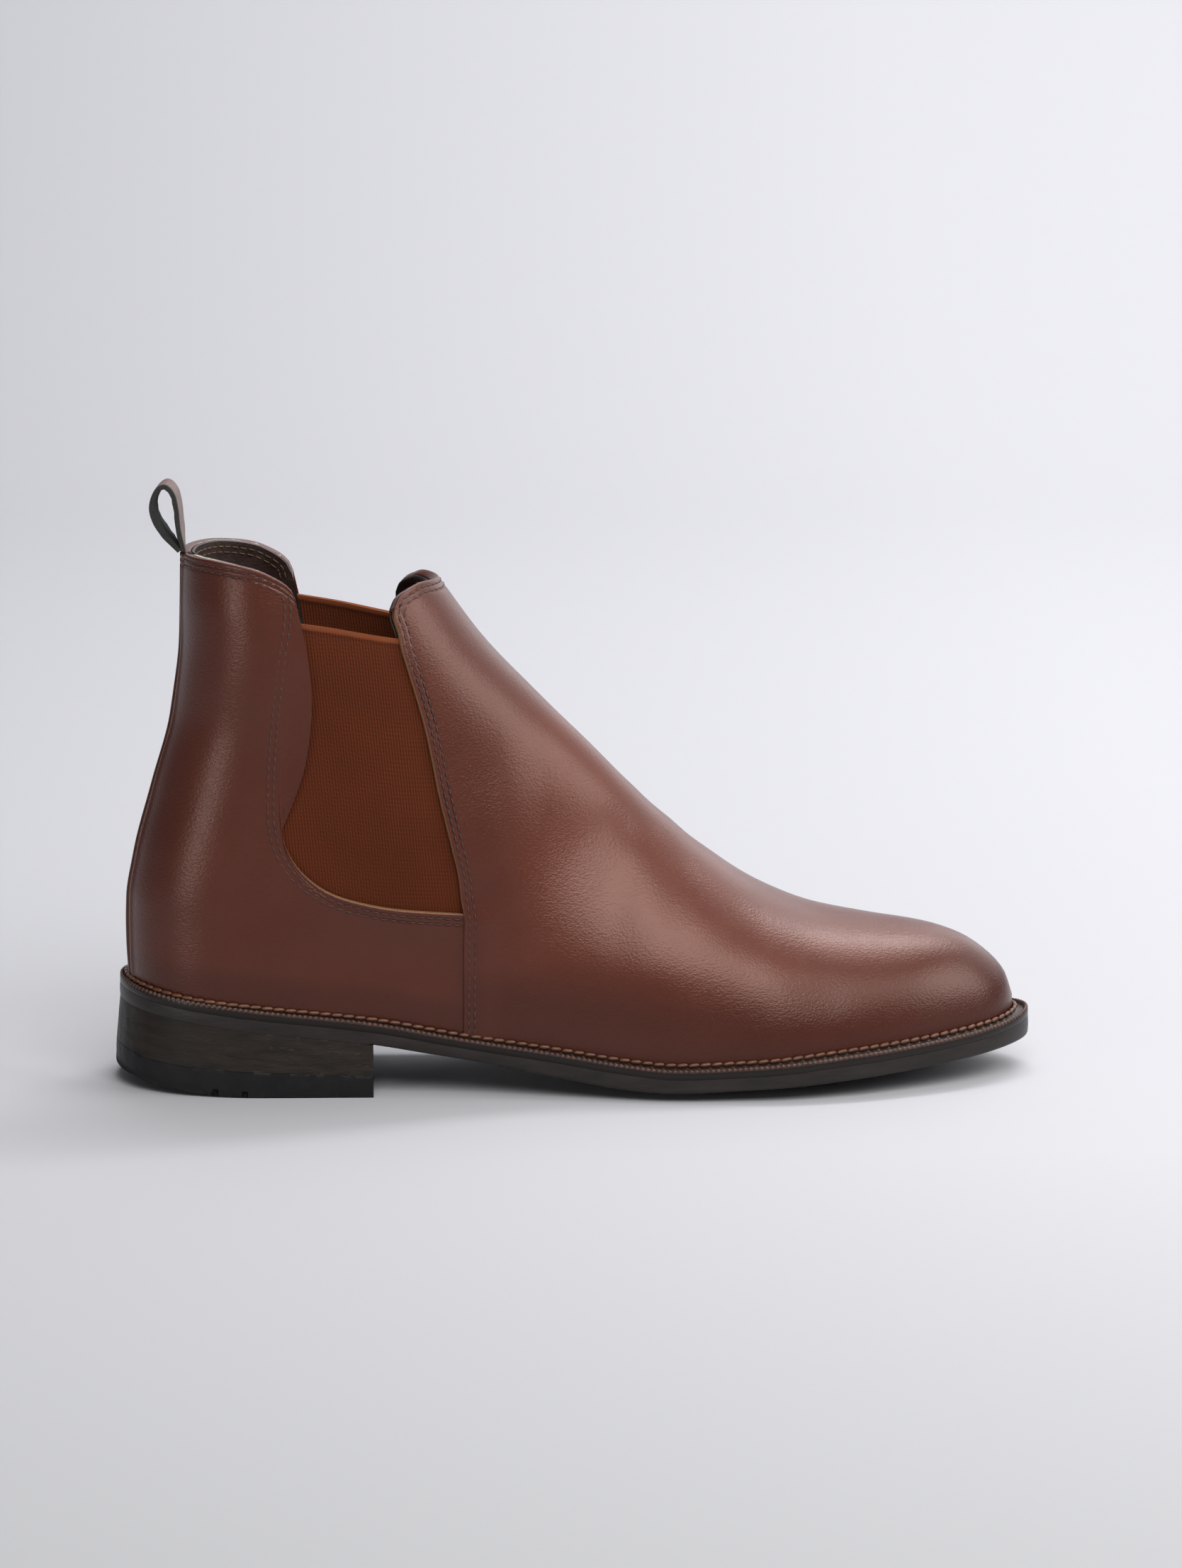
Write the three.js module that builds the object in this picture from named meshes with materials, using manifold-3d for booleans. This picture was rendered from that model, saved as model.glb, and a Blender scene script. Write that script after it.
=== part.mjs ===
// Chelsea boot for the right foot. Millimetres. +X to the toe, +Y to the inner (medial) side, +Z up.
// Shapes are laid out from the rear-most point of the heel; the whole boot is then moved back so that
// the origin is the middle of the flat face the heel stands on.
import * as THREE from 'three';
import { mergeVertices } from 'three/addons/utils/BufferGeometryUtils.js';
import Module from 'manifold-3d';

// ---- driving dimensions ----
const ORIGIN_X = 62;          // middle of the heel's flat resting face, from the rear of the heel
const SOLE_LENGTH = 304;      // outsole, heel to toe (EU 43)
const TOE_X = 298.7;          // front of the upper
const BREAST_X = 83.5;        // front face of the heel
const GAP = 0.3;
const LEATHER = 1.6;          // upper leather
const MIDDLE = [2.0, 3.0];    // depth of elastic, stiffeners and tapes below the outer face
const LINING = [3.4, 4.4];    // depth of the lining
const BED = 5.9;              // depth of the insole's edge
const WELT_THICK = 2.7;
const OUTSOLE_TOP = -3.0;     // below the welt's top edge
const VAMP_BACK = 113.4;      // vamp's rear edge at the side seam
const COLLAR_Z = 176.8;
const TAB_PIVOT = [21.7, 178];
const TAB_HALF_WIDTH = 7;
const TAB_THICK = 1.4;

// ---- helpers ----
const lerp = THREE.MathUtils.lerp;
const clamp = THREE.MathUtils.clamp;

// smooth monotone curve through points [x, y]
function through(...pts) {
  const n = pts.length;
  const h = [];
  const d = [];
  for (let i = 0; i < n - 1; i++) {
    h.push(pts[i + 1][0] - pts[i][0]);
    d.push((pts[i + 1][1] - pts[i][1]) / h[i]);
  }
  const m = [d[0]];
  for (let i = 1; i < n - 1; i++) {
    if (d[i - 1] * d[i] <= 0) m.push(0);
    else m.push(3 * (h[i - 1] + h[i]) / ((2 * h[i] + h[i - 1]) / d[i - 1] + (h[i] + 2 * h[i - 1]) / d[i]));
  }
  m.push(d[n - 2]);
  return (q) => {
    const x = clamp(q, pts[0][0], pts[n - 1][0]);
    let i = 0;
    while (i < n - 2 && x > pts[i + 1][0]) i++;
    const t = (x - pts[i][0]) / h[i];
    const a = (2 * t ** 3 - 3 * t ** 2 + 1) * pts[i][1] + (t ** 3 - 2 * t ** 2 + t) * h[i] * m[i];
    return a + (-2 * t ** 3 + 3 * t ** 2) * pts[i + 1][1] + (t ** 3 - t ** 2) * h[i] * m[i + 1];
  };
}

// plan outline given as half-widths, interpolated on their squares so that the ends are round
function outline(...pts) {
  const f = through(...pts.map(([x, w]) => [x, w * w]));
  return (x) => Math.sqrt(Math.max(0, f(x)));
}

// ---- side-view lines (x, z) and plan outlines (x, half-width) ----
const bead = through([0, 35.2], [8, 33.9], [20, 32], [44, 29], [83, 24.6], [115, 19], [141, 15.6], [168, 11.9],
  [182, 10.8], [207, 11.7], [240, 14.2], [264, 15.9], [290, 18.2], [298, 19.4], [304, 20.6]);
const feather = (x) => bead(x) - 2.4;
const ridge = through([-10, 344], [60, 238], [105, 170], [121, 148], [140, 127.5], [159, 108.5], [177.5, 90],
  [196.5, 74], [215, 62], [232, 55.2], [250, 51.8], [268, 49], [280, 45.4], [290, 39.2], [296, 32.3],
  [TOE_X, 24]);
const heelCurve = through([30, 3.6], [36, 2.7], [47, 2.3], [62, 2.6], [76, 5.1], [100, 11.3], [124, 18.0],
  [147, 21.2], [165, 21.7], [190, 22.2]);
const soleLateral = outline([0, 0], [3, 14], [10, 24], [25, 32], [45, 35.5], [80, 36.5], [110, 38], [150, 45],
  [190, 52], [215, 52.5], [240, 48.5], [265, 39], [285, 28], [297, 17], [SOLE_LENGTH, 0]);
const soleMedial = outline([0, 0], [3, 14], [10, 24], [25, 31.5], [45, 34], [80, 32], [110, 29.5], [150, 35],
  [190, 47], [215, 50.5], [240, 48], [265, 39], [285, 28], [297, 17], [SOLE_LENGTH, 0]);
const footLateral = outline([2, 31.5], [80, 32], [110, 33.5], [150, 39.5], [190, 46], [213, 46.5], [237, 42.3],
  [260, 34.5], [280, 24], [291, 16], [TOE_X, 0]);
const footMedial = outline([2, 30.5], [60, 29.5], [80, 28.5], [110, 26.5], [150, 31], [190, 41.5], [213, 44.5],
  [237, 42], [260, 34.5], [280, 24], [291, 16], [TOE_X, 0]);
const ankleWidth = through([0, 31.5], [55, 32], [100, 39.5], [126, 38.5], [142, 35], [158, 33.5], [175, 37],
  [200, 44], [260, 33], [TOE_X, 5]);
const topWidth = through([0, 39.5], [60, 39.5], [95, 43], [140, 44]);
const ridgeShift = through([100, 0], [150, 2], [215, 3], [260, 2], [TOE_X, 0]);
const soleEdgeZ = through([0, 27.8], [44, 21.7], [83, 17.4], [100, 14.6], [128, 10.1], [155, 5.4], [168, 3.7],
  [180, 3.1], [208, 4.2], [253, 7.2], [285, 9.6], [SOLE_LENGTH, 11.4]);
const crown = through([84, 0], [120, 2], [170, 3.3], [250, 3.2], [SOLE_LENGTH, 0.5]);
const liftTopZ = through([0, 13.3], [10.7, 11], [32, 9.2], [56, 8.2], [84, 6.9]);
const liftBottomZ = (x) => 5.2 * Math.pow(Math.max(0, (45 - x) / 45), 1.7);

// ---- outer face of the upper: phi runs from the heel round the lateral side to the toe and back, v upwards ----
const ridgeLine = [];
for (let i = 0; i <= 12; i++) ridgeLine.push([TOE_X, lerp(feather(TOE_X), ridge(TOE_X), i / 12), 0]);
for (let i = 1; i <= 500; i++) {
  const x = TOE_X - (TOE_X - 104.8) * (i / 500) ** 2;
  ridgeLine.push([x, ridge(x), 0]);
}
for (let i = 1; i < ridgeLine.length; i++) {
  const [a, b] = [ridgeLine[i - 1], ridgeLine[i]];
  b[2] = a[2] + Math.hypot(b[0] - a[0], b[1] - a[1]);
}

function onRidge(v) {
  const want = ridgeLine.at(-1)[2] * Math.max(0, v) ** 1.4;
  let i = 1;
  while (i < ridgeLine.length - 1 && ridgeLine[i][2] < want) i++;
  const [a, b] = [ridgeLine[i - 1], ridgeLine[i]];
  const w = (want - a[2]) / (b[2] - a[2]);
  const x = lerp(a[0], b[0], w);
  return [x, x < TOE_X - 1e-6 ? ridge(x) : lerp(a[1], b[1], w)];
}

const HEEL_Z = [32.7, 187];
function onHeel(v) {
  const z = lerp(HEEL_Z[0], HEEL_Z[1], v);
  return [heelCurve(z), z];
}

function sideView(t, v) {
  const b = onHeel(v);
  const f = onRidge(v);
  const x = lerp(b[0], f[0], t);
  const low = lerp(HEEL_Z[0], feather(TOE_X), (x - 2.8) / (TOE_X - 2.8));
  const fade = Math.max(0, 1 - v) ** 3 * (1 - (1 - t) ** 12) * (1 - t ** 40);
  return [x, lerp(b[1], f[1], t) + (feather(x) - low) * fade];
}

function halfWidth(x, z, lateral) {
  const shift = ridgeShift(x);
  const foot = lateral ? footLateral(x) + shift : footMedial(x) - shift;
  const up = clamp((z - 38) / 57, 0, 1);
  const high = clamp((z - 104) / 61, 0, 1);
  const body = lerp(foot, ankleWidth(x), up * up * (3 - 2 * up));
  const wide = lerp(body, topWidth(x), high * high * (3 - 2 * high));
  const h = clamp((z - feather(x)) / Math.max(0.5, ridge(x) - feather(x)), 0, 1);
  const q = clamp(1 - (x - heelCurve(z)) / 35, 0, 1);
  return wide * Math.sqrt(1 - h ** 2.3) * Math.sqrt(1 - q ** 2.2);
}

function face(phi, v) {
  const t = (1 - Math.cos(phi)) / 2;
  const [x, z] = sideView(t, v);
  const lateral = Math.sin(phi) >= 0;
  const w = t <= 0 || t >= 1 ? 0 : halfWidth(x, z, lateral);
  return new THREE.Vector3(x, ridgeShift(x) + (lateral ? -w : w), z);
}

// point at a depth below the outer face
function skin(phi, v, depth = 0) {
  const e = 0.004;
  const du = face(phi + e, v).sub(face(phi - e, v));
  const dv = face(phi, v + e).sub(face(phi, Math.max(0, v - e)));
  const n = du.cross(dv).normalize();
  return face(phi, v).addScaledVector(n, -depth);
}

// (x, z) in the side view to (phi, v)
function locate(x, z) {
  let lo = -0.02;
  let hi = 1.02;
  let t = 0;
  for (let i = 0; i < 44; i++) {
    const v = (lo + hi) / 2;
    const bx = onHeel(v)[0];
    t = clamp((x - bx) / (onRidge(v)[0] - bx), 0, 1);
    if (sideView(t, v)[1] < z) lo = v;
    else hi = v;
  }
  return new THREE.Vector2(Math.acos(1 - 2 * t), Math.max(0, (lo + hi) / 2));
}

// edge of a piece: spline through side-view points, evenly spaced along the surface
function edge(...pts) {
  const knots = pts.map((p) => (p instanceof THREE.Vector2 ? p : locate(p[0], p[1])));
  const fine = new THREE.SplineCurve(knots).getPoints(pts.length * 12);
  const length = [0];
  for (let i = 1; i < fine.length; i++) {
    length.push(length[i - 1] + face(fine[i].x, fine[i].y).distanceTo(face(fine[i - 1].x, fine[i - 1].y)));
  }
  return (s) => {
    const want = length.at(-1) * s;
    let i = 1;
    while (i < fine.length - 1 && length[i] < want) i++;
    return fine[i - 1].clone().lerp(fine[i], (want - length[i - 1]) / (length[i] - length[i - 1]));
  };
}

// four edges to a patch (s, t) -> (phi, v)
function coons(left, right, bottom, top) {
  return (s, t) => {
    const p = bottom(s).clone().multiplyScalar(1 - t).addScaledVector(top(s), t);
    p.addScaledVector(left(t), 1 - s).addScaledVector(right(t), s);
    p.addScaledVector(bottom(0), -(1 - s) * (1 - t)).addScaledVector(bottom(1), -s * (1 - t));
    return p.addScaledVector(top(0), -(1 - s) * t).addScaledVector(top(1), -s * t);
  };
}

// ---- solids ----
const boot = new THREE.Group();
boot.name = 'chelsea_boot';
boot.position.x = -ORIGIN_X;

function add(name, geometry, material) {
  geometry.computeVertexNormals();
  const mesh = new THREE.Mesh(geometry, material.clone());
  mesh.name = name;
  boot.add(mesh);
}

function fromTriangles(points, index) {
  const geometry = new THREE.BufferGeometry();
  geometry.setAttribute('position', new THREE.Float32BufferAttribute(points.flatMap((p) => [p.x, p.y, p.z]), 3));
  geometry.setIndex(index);
  const merged = mergeVertices(geometry, 1e-3);
  const ids = merged.index.array;
  const pos = merged.attributes.position;
  const kept = [];
  let volume = 0;
  const [a, b, c] = [new THREE.Vector3(), new THREE.Vector3(), new THREE.Vector3()];
  for (let i = 0; i < ids.length; i += 3) {
    const [p, q, r] = [ids[i], ids[i + 1], ids[i + 2]];
    if (p === q || q === r || p === r) continue;
    kept.push(p, q, r);
    volume += a.fromBufferAttribute(pos, p).dot(b.fromBufferAttribute(pos, q).cross(c.fromBufferAttribute(pos, r)));
  }
  if (volume < 0) kept.reverse();
  merged.setIndex(kept);
  return merged;
}

// solid between two faces of a grid; place(i / cols, j / rows, 0 or 1) gives the points
function block(cols, rows, place) {
  const points = [];
  const id = (i, j, k) => (k * (cols + 1) + i) * (rows + 1) + j;
  for (let k = 0; k < 2; k++) {
    for (let i = 0; i <= cols; i++) {
      for (let j = 0; j <= rows; j++) points.push(place(i / cols, j / rows, k));
    }
  }
  const index = [];
  const quad = (a, b, c, d) => index.push(a, b, c, a, c, d);
  for (let i = 0; i < cols; i++) {
    for (let j = 0; j < rows; j++) {
      quad(id(i, j, 0), id(i + 1, j, 0), id(i + 1, j + 1, 0), id(i, j + 1, 0));
      quad(id(i, j, 1), id(i, j + 1, 1), id(i + 1, j + 1, 1), id(i + 1, j, 1));
    }
    quad(id(i, 0, 0), id(i, 0, 1), id(i + 1, 0, 1), id(i + 1, 0, 0));
    quad(id(i, rows, 0), id(i + 1, rows, 0), id(i + 1, rows, 1), id(i, rows, 1));
  }
  for (let j = 0; j < rows; j++) {
    quad(id(0, j, 0), id(0, j + 1, 0), id(0, j + 1, 1), id(0, j, 1));
    quad(id(cols, j, 0), id(cols, j, 1), id(cols, j + 1, 1), id(cols, j + 1, 0));
  }
  return fromTriangles(points, index);
}

// closed ring of a closed profile
function ring(steps, profile) {
  const points = [];
  const index = [];
  const n = profile(0).length;
  for (let i = 0; i < steps; i++) points.push(...profile((i / steps) * 2 * Math.PI));
  for (let i = 0; i < steps; i++) {
    for (let j = 0; j < n; j++) {
      const [a, b] = [i * n + j, i * n + ((j + 1) % n)];
      const [c, d] = [((i + 1) % steps) * n + j, ((i + 1) % steps) * n + ((j + 1) % n)];
      index.push(a, c, d, a, d, b);
    }
  }
  return fromTriangles(points, index);
}

// sheet on one side of the boot
function sheet(patch, cols, rows, depths, medial) {
  return block(cols, rows, (s, t, k) => {
    const p = patch(s, t);
    return skin(medial ? 2 * Math.PI - p.x : p.x, p.y, depths[k]);
  });
}

// sheet that wraps round the heel (middle 0) or the toe (middle 1)
function wrap(patch, cols, rows, depths, middle) {
  return block(2 * cols, rows, (s, t, k) => {
    const r = 2 * s - 1;
    const p = patch(middle ? 1 - Math.abs(r) : Math.abs(r), t);
    return skin(r > 0 === (middle === 1) ? 2 * Math.PI - p.x - middle * flapShift(p) : p.x, p.y, depths[k]);
  });
}

// the top of the vamp stands a little further forward on the medial side
function flapShift(p) {
  const z = sideView((1 - Math.cos(p.x)) / 2, p.y)[1];
  const up = clamp((z - 135) / 25, 0, 1);
  const side = clamp((Math.PI - p.x) / 0.8, 0, 1);
  return 0.085 * up * up * (3 - 2 * up) * side * side * (3 - 2 * side);
}

const part = (patch, s0, s1, t0, t1) => (s, t) => patch(lerp(s0, s1, s), lerp(t0, t1, t));

// ---- materials ----
const mat = (color, roughness, metalness = 0) => new THREE.MeshStandardMaterial({ color, roughness, metalness });
const calf = mat(0x7a4a38, 0.5);
const elastic = mat(0x6e3c22, 0.9);
const liningLeather = mat(0x3f2620, 0.8);
const tabLeather = mat(0x8a5a48, 0.6);
const stiffener = mat(0xc9b89a, 0.9);
const tape = mat(0xd8d2c4, 0.9);
const weltLeather = mat(0x6b4330, 0.6);
const threadColour = mat(0x8c6a48, 0.7);
const soleLeather = mat(0x2f2a28, 0.6);
const insoleLeather = mat(0xb98f66, 0.8);
const cork = mat(0xa87b4f, 0.95);
const foam = mat(0xd9d4c8, 0.95);
const steel = mat(0x8d9196, 0.35, 1);
const stackLeather = mat(0x33261f, 0.6);
const rubber = mat(0x2a2a2c, 0.85);

// ---- upper: lines on the side view ----
const at = (phi, v) => new THREE.Vector2(phi, v);
const backTop = locate(heelCurve(COLLAR_Z), COLLAR_Z).y;
const collar = [[25, 177.4], [32, 177.3], [41.5, 176.1], [47, 174.9], [51.5, 173], [55.3, 170.8], [58, 168.1],
  [59.2, 164.3]];
const goreBack = [[59.2, 158.4], [57.3, 145.8], [55.4, 130], [53.8, 112], [53.2, 97], [54, 87], [56.8, 79.6]];
const goreFoot = [[61.3, 73.6], [68.3, 68.3], [77.5, 64.9], [91.4, 62.2]];
const goreFront = [[112.4, 68], [109.4, 84], [105.8, 99.5], [102.8, 115], [98.6, 132], [94.4, 146]];
const flapSide = [[92.8, 153.5], [91.3, 158.3], [91.5, 161.6]];
const flapTop = [[93.4, 165], [97, 167.2], [101.5, 168.4]];
const footV = (x) => locate(x, feather(x));

const vampBackFoot = at(footV(VAMP_BACK).x, 0);
const vampHalf = coons(
  edge(vampBackFoot, [VAMP_BACK, 40], [VAMP_BACK, 60.5], ...goreFront, ...flapSide),
  edge(at(Math.PI, 0), at(Math.PI, 0.25), at(Math.PI, 0.5), at(Math.PI, 0.75), at(Math.PI, 0.993)),
  edge(vampBackFoot, at(lerp(vampBackFoot.x, Math.PI, 0.5), 0), at(Math.PI, 0)),
  edge(flapSide.at(-1), ...flapTop, at(Math.PI, 0.993)));

const quarterFront = VAMP_BACK - GAP;
const quarterFoot = at(footV(quarterFront).x, 0);
const quarterPatch = coons(
  edge(at(0, 0), at(0, 0.5), at(0, backTop)),
  edge(quarterFoot, [quarterFront, 35], [quarterFront, 48], [quarterFront, 60.6]),
  edge(at(0, 0), at(quarterFoot.x / 2, 0), quarterFoot),
  edge(at(0, backTop), ...collar, ...goreBack, ...goreFoot, [quarterFront, 60.6]));
// columns crowd towards the heel, where the surface turns most
const quarterHalf = (s, t) => quarterPatch(s ** 1.5, t);

const LAP = 6;
const shifted = (pts, dx, dz) => pts.map(([x, z]) => [x + dx, z + dz]);
const goreHalf = coons(
  edge(...shifted(goreBack, -LAP, 0).reverse()),
  edge([113.4 + LAP - 1, 57.5], ...shifted(goreFront, LAP, 0), [100.5, 150.6]),
  edge([56.8 - LAP, 79.6], [56, 70], [64, 63.4], [76, 59.6], [91.4, 57.4], [113.4 + LAP - 1, 57.5]),
  edge([59.2 - LAP, 158.4], [72, 155.6], [86, 153], [100.5, 150.6]));

// ---- upper ----
const [VC, VR] = [22, 20];
add('vamp', wrap(vampHalf, VC, VR, [0, LEATHER], 1), calf);
add('vamp_lining', wrap(vampHalf, VC, VR, LINING, 1), liningLeather);
add('toe_puff', wrap(part(vampHalf, 16 / VC, 1, 1 / VR, 7 / VR), 6, 6, MIDDLE, 1), stiffener);

// the quarters meet at the back seam
const [QC, QR] = [20, 18];
const seamed = (s, t) => quarterHalf(Math.max(s, 0.012), t);
add('quarter_lateral', sheet(seamed, QC, QR, [0, LEATHER], false), calf);
add('quarter_medial', sheet(seamed, QC, QR, [0, LEATHER], true), calf);
add('quarter_lining', wrap(quarterHalf, QC, QR, LINING, 0), liningLeather);
add('heel_counter', wrap(part(quarterHalf, 0, 12 / QC, 1 / QR, 6 / QR), 12, 5, MIDDLE, 0), stiffener);
add('gore_lateral', sheet(goreHalf, 9, 12, MIDDLE, false), elastic);
add('gore_medial', sheet(goreHalf, 9, 12, MIDDLE, true), elastic);

const tapeHalf = part(quarterHalf, 3 / QC, 8 / QC, 17 / QR, 1);
add('topline_tape_lateral', sheet(tapeHalf, 5, 1, MIDDLE, false), tape);
add('topline_tape_medial', sheet(tapeHalf, 5, 1, MIDDLE, true), tape);

// strap of the pull tab: the tails are sewn in between leather and lining, the loop stands up above them
add('pull_tab_tail', wrap(part(quarterHalf, 0, 2 / QC, 15 / QR, 1), 2, 3, MIDDLE, 0), tabLeather);

const loopCurve = new THREE.SplineCurve([[22.6, 178.7], [22.1, 182], [21.6, 187], [21.1, 192.3], [19.9, 196.8],
  [17.5, 199.3], [15, 198.2], [13.3, 195], [12.8, 191.2], [14.1, 187], [17, 182.5], [20.5, 178.7],
].map(([x, z]) => new THREE.Vector2(x, z)));
function loopPoint(s, r, k) {
  const p = loopCurve.getPointAt(s);
  const t = loopCurve.getTangentAt(s);
  const off = (k ? -0.5 : 0.5) * TAB_THICK;
  const spread = lerp(-TAB_HALF_WIDTH, TAB_HALF_WIDTH, r);
  return new THREE.Vector3(p.x - t.y * off, spread, Math.max(p.y + t.x * off, TAB_PIVOT[1] + 0.4));
}
add('pull_tab_loop', block(28, 2, loopPoint), tabLeather);

// ---- bottom ----
function weltProfile(phi) {
  const lateral = Math.sin(phi) >= 0;
  const x = SOLE_LENGTH * (1 - Math.cos(phi)) / 2;
  const y = lateral ? -soleLateral(x) : soleMedial(x);
  const inner = skin(phi, 0.006, -GAP);
  const out = new THREE.Vector3(x, y, 0);
  const point = (w, z) => {
    const p = out.clone().lerp(inner, w);
    p.z = bead(clamp(p.x, 0, SOLE_LENGTH)) + z;
    return p;
  };
  return [point(0, -WELT_THICK), point(0, 0), point(0.62, -0.2), point(0.8, 1.4), point(1, 2.2), point(1, -WELT_THICK)];
}
add('storm_welt', ring(96, weltProfile), weltLeather);

function stitchProfile(phi) {
  const p = weltProfile(phi);
  const centre = p[1].clone().lerp(p[2], 0.62);
  const side = p[2].clone().sub(p[1]).setZ(0).normalize();
  const points = [];
  for (let k = 0; k < 5; k++) {
    const a = (k / 5) * 2 * Math.PI;
    points.push(centre.clone().addScaledVector(side, 0.5 * Math.cos(a)));
    points.at(-1).z += 0.62 + 0.5 * Math.sin(a);
  }
  return points;
}
add('welt_stitch', ring(80, stitchProfile), threadColour);

// slab that follows the sole's plan from x0 to x1, ends round
function plan(x0, x1, cols, rows, shape, height) {
  return block(cols, rows, (s, r, k) => {
    const x = lerp(x0, x1, (1 - Math.cos(Math.PI * s)) / 2);
    const y = lerp(-soleLateral(x), soleMedial(x), r);
    const [dx, dy] = shape(x, y, k);
    const p = new THREE.Vector3(x + dx, y + dy, 0);
    p.z = height(x, (2 * r - 1) ** 2, k);
    return p;
  });
}
const still = () => [0, 0];
const soleHeight = (x, across, k) => {
  if (!k) return bead(x) + OUTSOLE_TOP;
  return Math.max(0, soleEdgeZ(x) - crown(x) * (1 - across));
};
const outsole = plan(0, SOLE_LENGTH, 48, 6, still, soleHeight);

// bed inside the upper: phi0 to phi1 along the foot, straight across
function bed(phi0, phi1, cols, rows, depth, height) {
  return block(cols, rows, (s, r, k) => {
    const phi = lerp(phi0, phi1, s);
    const p = skin(phi, 0.02, depth).lerp(skin(2 * Math.PI - phi, 0.02, depth), r);
    p.z = bead(p.x) + height(p.x)[k];
    return p;
  });
}
const phiAt = (x) => Math.acos(1 - 2 * (x - 2.6) / (TOE_X - 2.6));
const step = (x, a, b) => {
  const u = clamp((x - a) / (b - a), 0, 1);
  return u * u * (3 - 2 * u);
};
const insole = bed(0, Math.PI, 36, 4, BED, () => [2.2, -0.4]);
const padRise = (x) => 2.4 * (1 - step(x, 78, 92));
add('sock_liner', bed(0, Math.PI, 36, 4, BED + 0.5, (x) => [3.4 + padRise(x), 2.5 + padRise(x)]), liningLeather);
add('heel_pad', bed(0.12, phiAt(75), 12, 4, BED + 3, () => [4.6, 2.5]), foam);
add('cork_filler', bed(phiAt(156), Math.PI - 0.12, 16, 4, BED + 1, () => [-0.7, -2.7]), cork);
add('shank', block(12, 1, (s, r, k) => {
  const x = lerp(62, 150, s);
  return new THREE.Vector3(x, lerp(-7, 7, r) + 1.5, bead(x) + (k ? -2.4 : -1));
}), steel);

// ---- heel: leather lifts on a rubber top lift ----
const LIFTS = 3;
const flare = (x, y, level) => {
  const grow = 1.6 * (1 - level);
  return [x < BREAST_X - 1 ? -grow * Math.max(0, 1 - x / 40) : 0, Math.sign(y) * grow * Math.min(1, Math.abs(y) / 12)];
};
function lift(level0, level1, height) {
  return plan(0, BREAST_X * 2, 32, 4, (x, y, k) => flare(x, y, k ? level0 : level1), height);
}
function liftZ(level) {
  return (x) => lerp(liftTopZ(x) + GAP, soleEdgeZ(x) - GAP, level);
}

// ---- nails through insole, outsole and lifts: booleans ----
const wasm = await Module();
wasm.setup();
function solid(geometry) {
  const g = geometry.clone();
  g.deleteAttribute('normal');
  g.deleteAttribute('uv');
  const m = g.index ? g : mergeVertices(g);
  const mesh = new wasm.Mesh({
    numProp: 3,
    vertProperties: new Float32Array(m.attributes.position.array),
    triVerts: new Uint32Array(m.index.array),
  });
  return new wasm.Manifold(mesh);
}
function geometryOf(body) {
  const mesh = body.getMesh();
  const geometry = new THREE.BufferGeometry();
  geometry.setAttribute('position', new THREE.Float32BufferAttribute(Array.from(mesh.vertProperties), 3));
  geometry.setIndex(Array.from(mesh.triVerts));
  return geometry;
}
function bar(x, y, z0, z1, radius) {
  const g = new THREE.CylinderGeometry(radius, radius, z1 - z0, 10);
  g.rotateX(Math.PI / 2);
  g.translate(x, y, (z0 + z1) / 2);
  g.deleteAttribute('normal');
  g.deleteAttribute('uv');
  return mergeVertices(g, 1e-4);
}
const NAILS = [[14, 0], [26, -18], [26, 17], [52, -22], [52, 20]];
const NAIL_R = 1.0;
const drilled = (geometry) => {
  let body = solid(geometry);
  for (const [x, y] of NAILS) body = body.subtract(solid(bar(x, y, -5, 60, NAIL_R + 0.2)));
  return geometryOf(body);
};
// the breast is a plane: everything ahead of it is cut away
const ahead = new THREE.BoxGeometry(200, 200, 80);
ahead.deleteAttribute('normal');
ahead.deleteAttribute('uv');
ahead.translate(BREAST_X + 100, 0, 20);
const cutAhead = (geometry) => geometryOf(solid(geometry).subtract(solid(mergeVertices(ahead, 1e-4))));

add('insole', drilled(insole), insoleLeather);
add('outsole', drilled(outsole), soleLeather);
for (let i = 0; i < LIFTS; i++) {
  const [lower, upper] = [i / LIFTS, (i + 1) / LIFTS];
  const height = (x, across, k) => liftZ(k ? lower : upper)(x) - (k || i === LIFTS - 1 ? 0 : 0.2);
  add(`heel_lift_${i + 1}`, drilled(cutAhead(lift(lower * 0.8 + 0.2, upper * 0.8 + 0.2, height))), stackLeather);
}
const topLift = lift(0, 0.15, (x, across, k) => (k ? liftBottomZ(x) : liftTopZ(x)));
add('heel_top_lift', cutAhead(topLift), rubber);
NAILS.forEach(([x, y], i) => add(`heel_nail_${i + 1}`, bar(x, y, liftTopZ(x) + 0.8, bead(x) + 2.1, NAIL_R), steel));

export default boot;
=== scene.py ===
"""Looks of the chelsea boot: leather, elastic, stitching, welt and heel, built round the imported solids.

Shapes are laid out in millimetres from the rear-most point of the heel, as in the CAD source, then moved by
ORIGIN_X and turned into metres. phi runs from the heel round the lateral side to the toe and back; v runs up.
"""
import math

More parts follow.
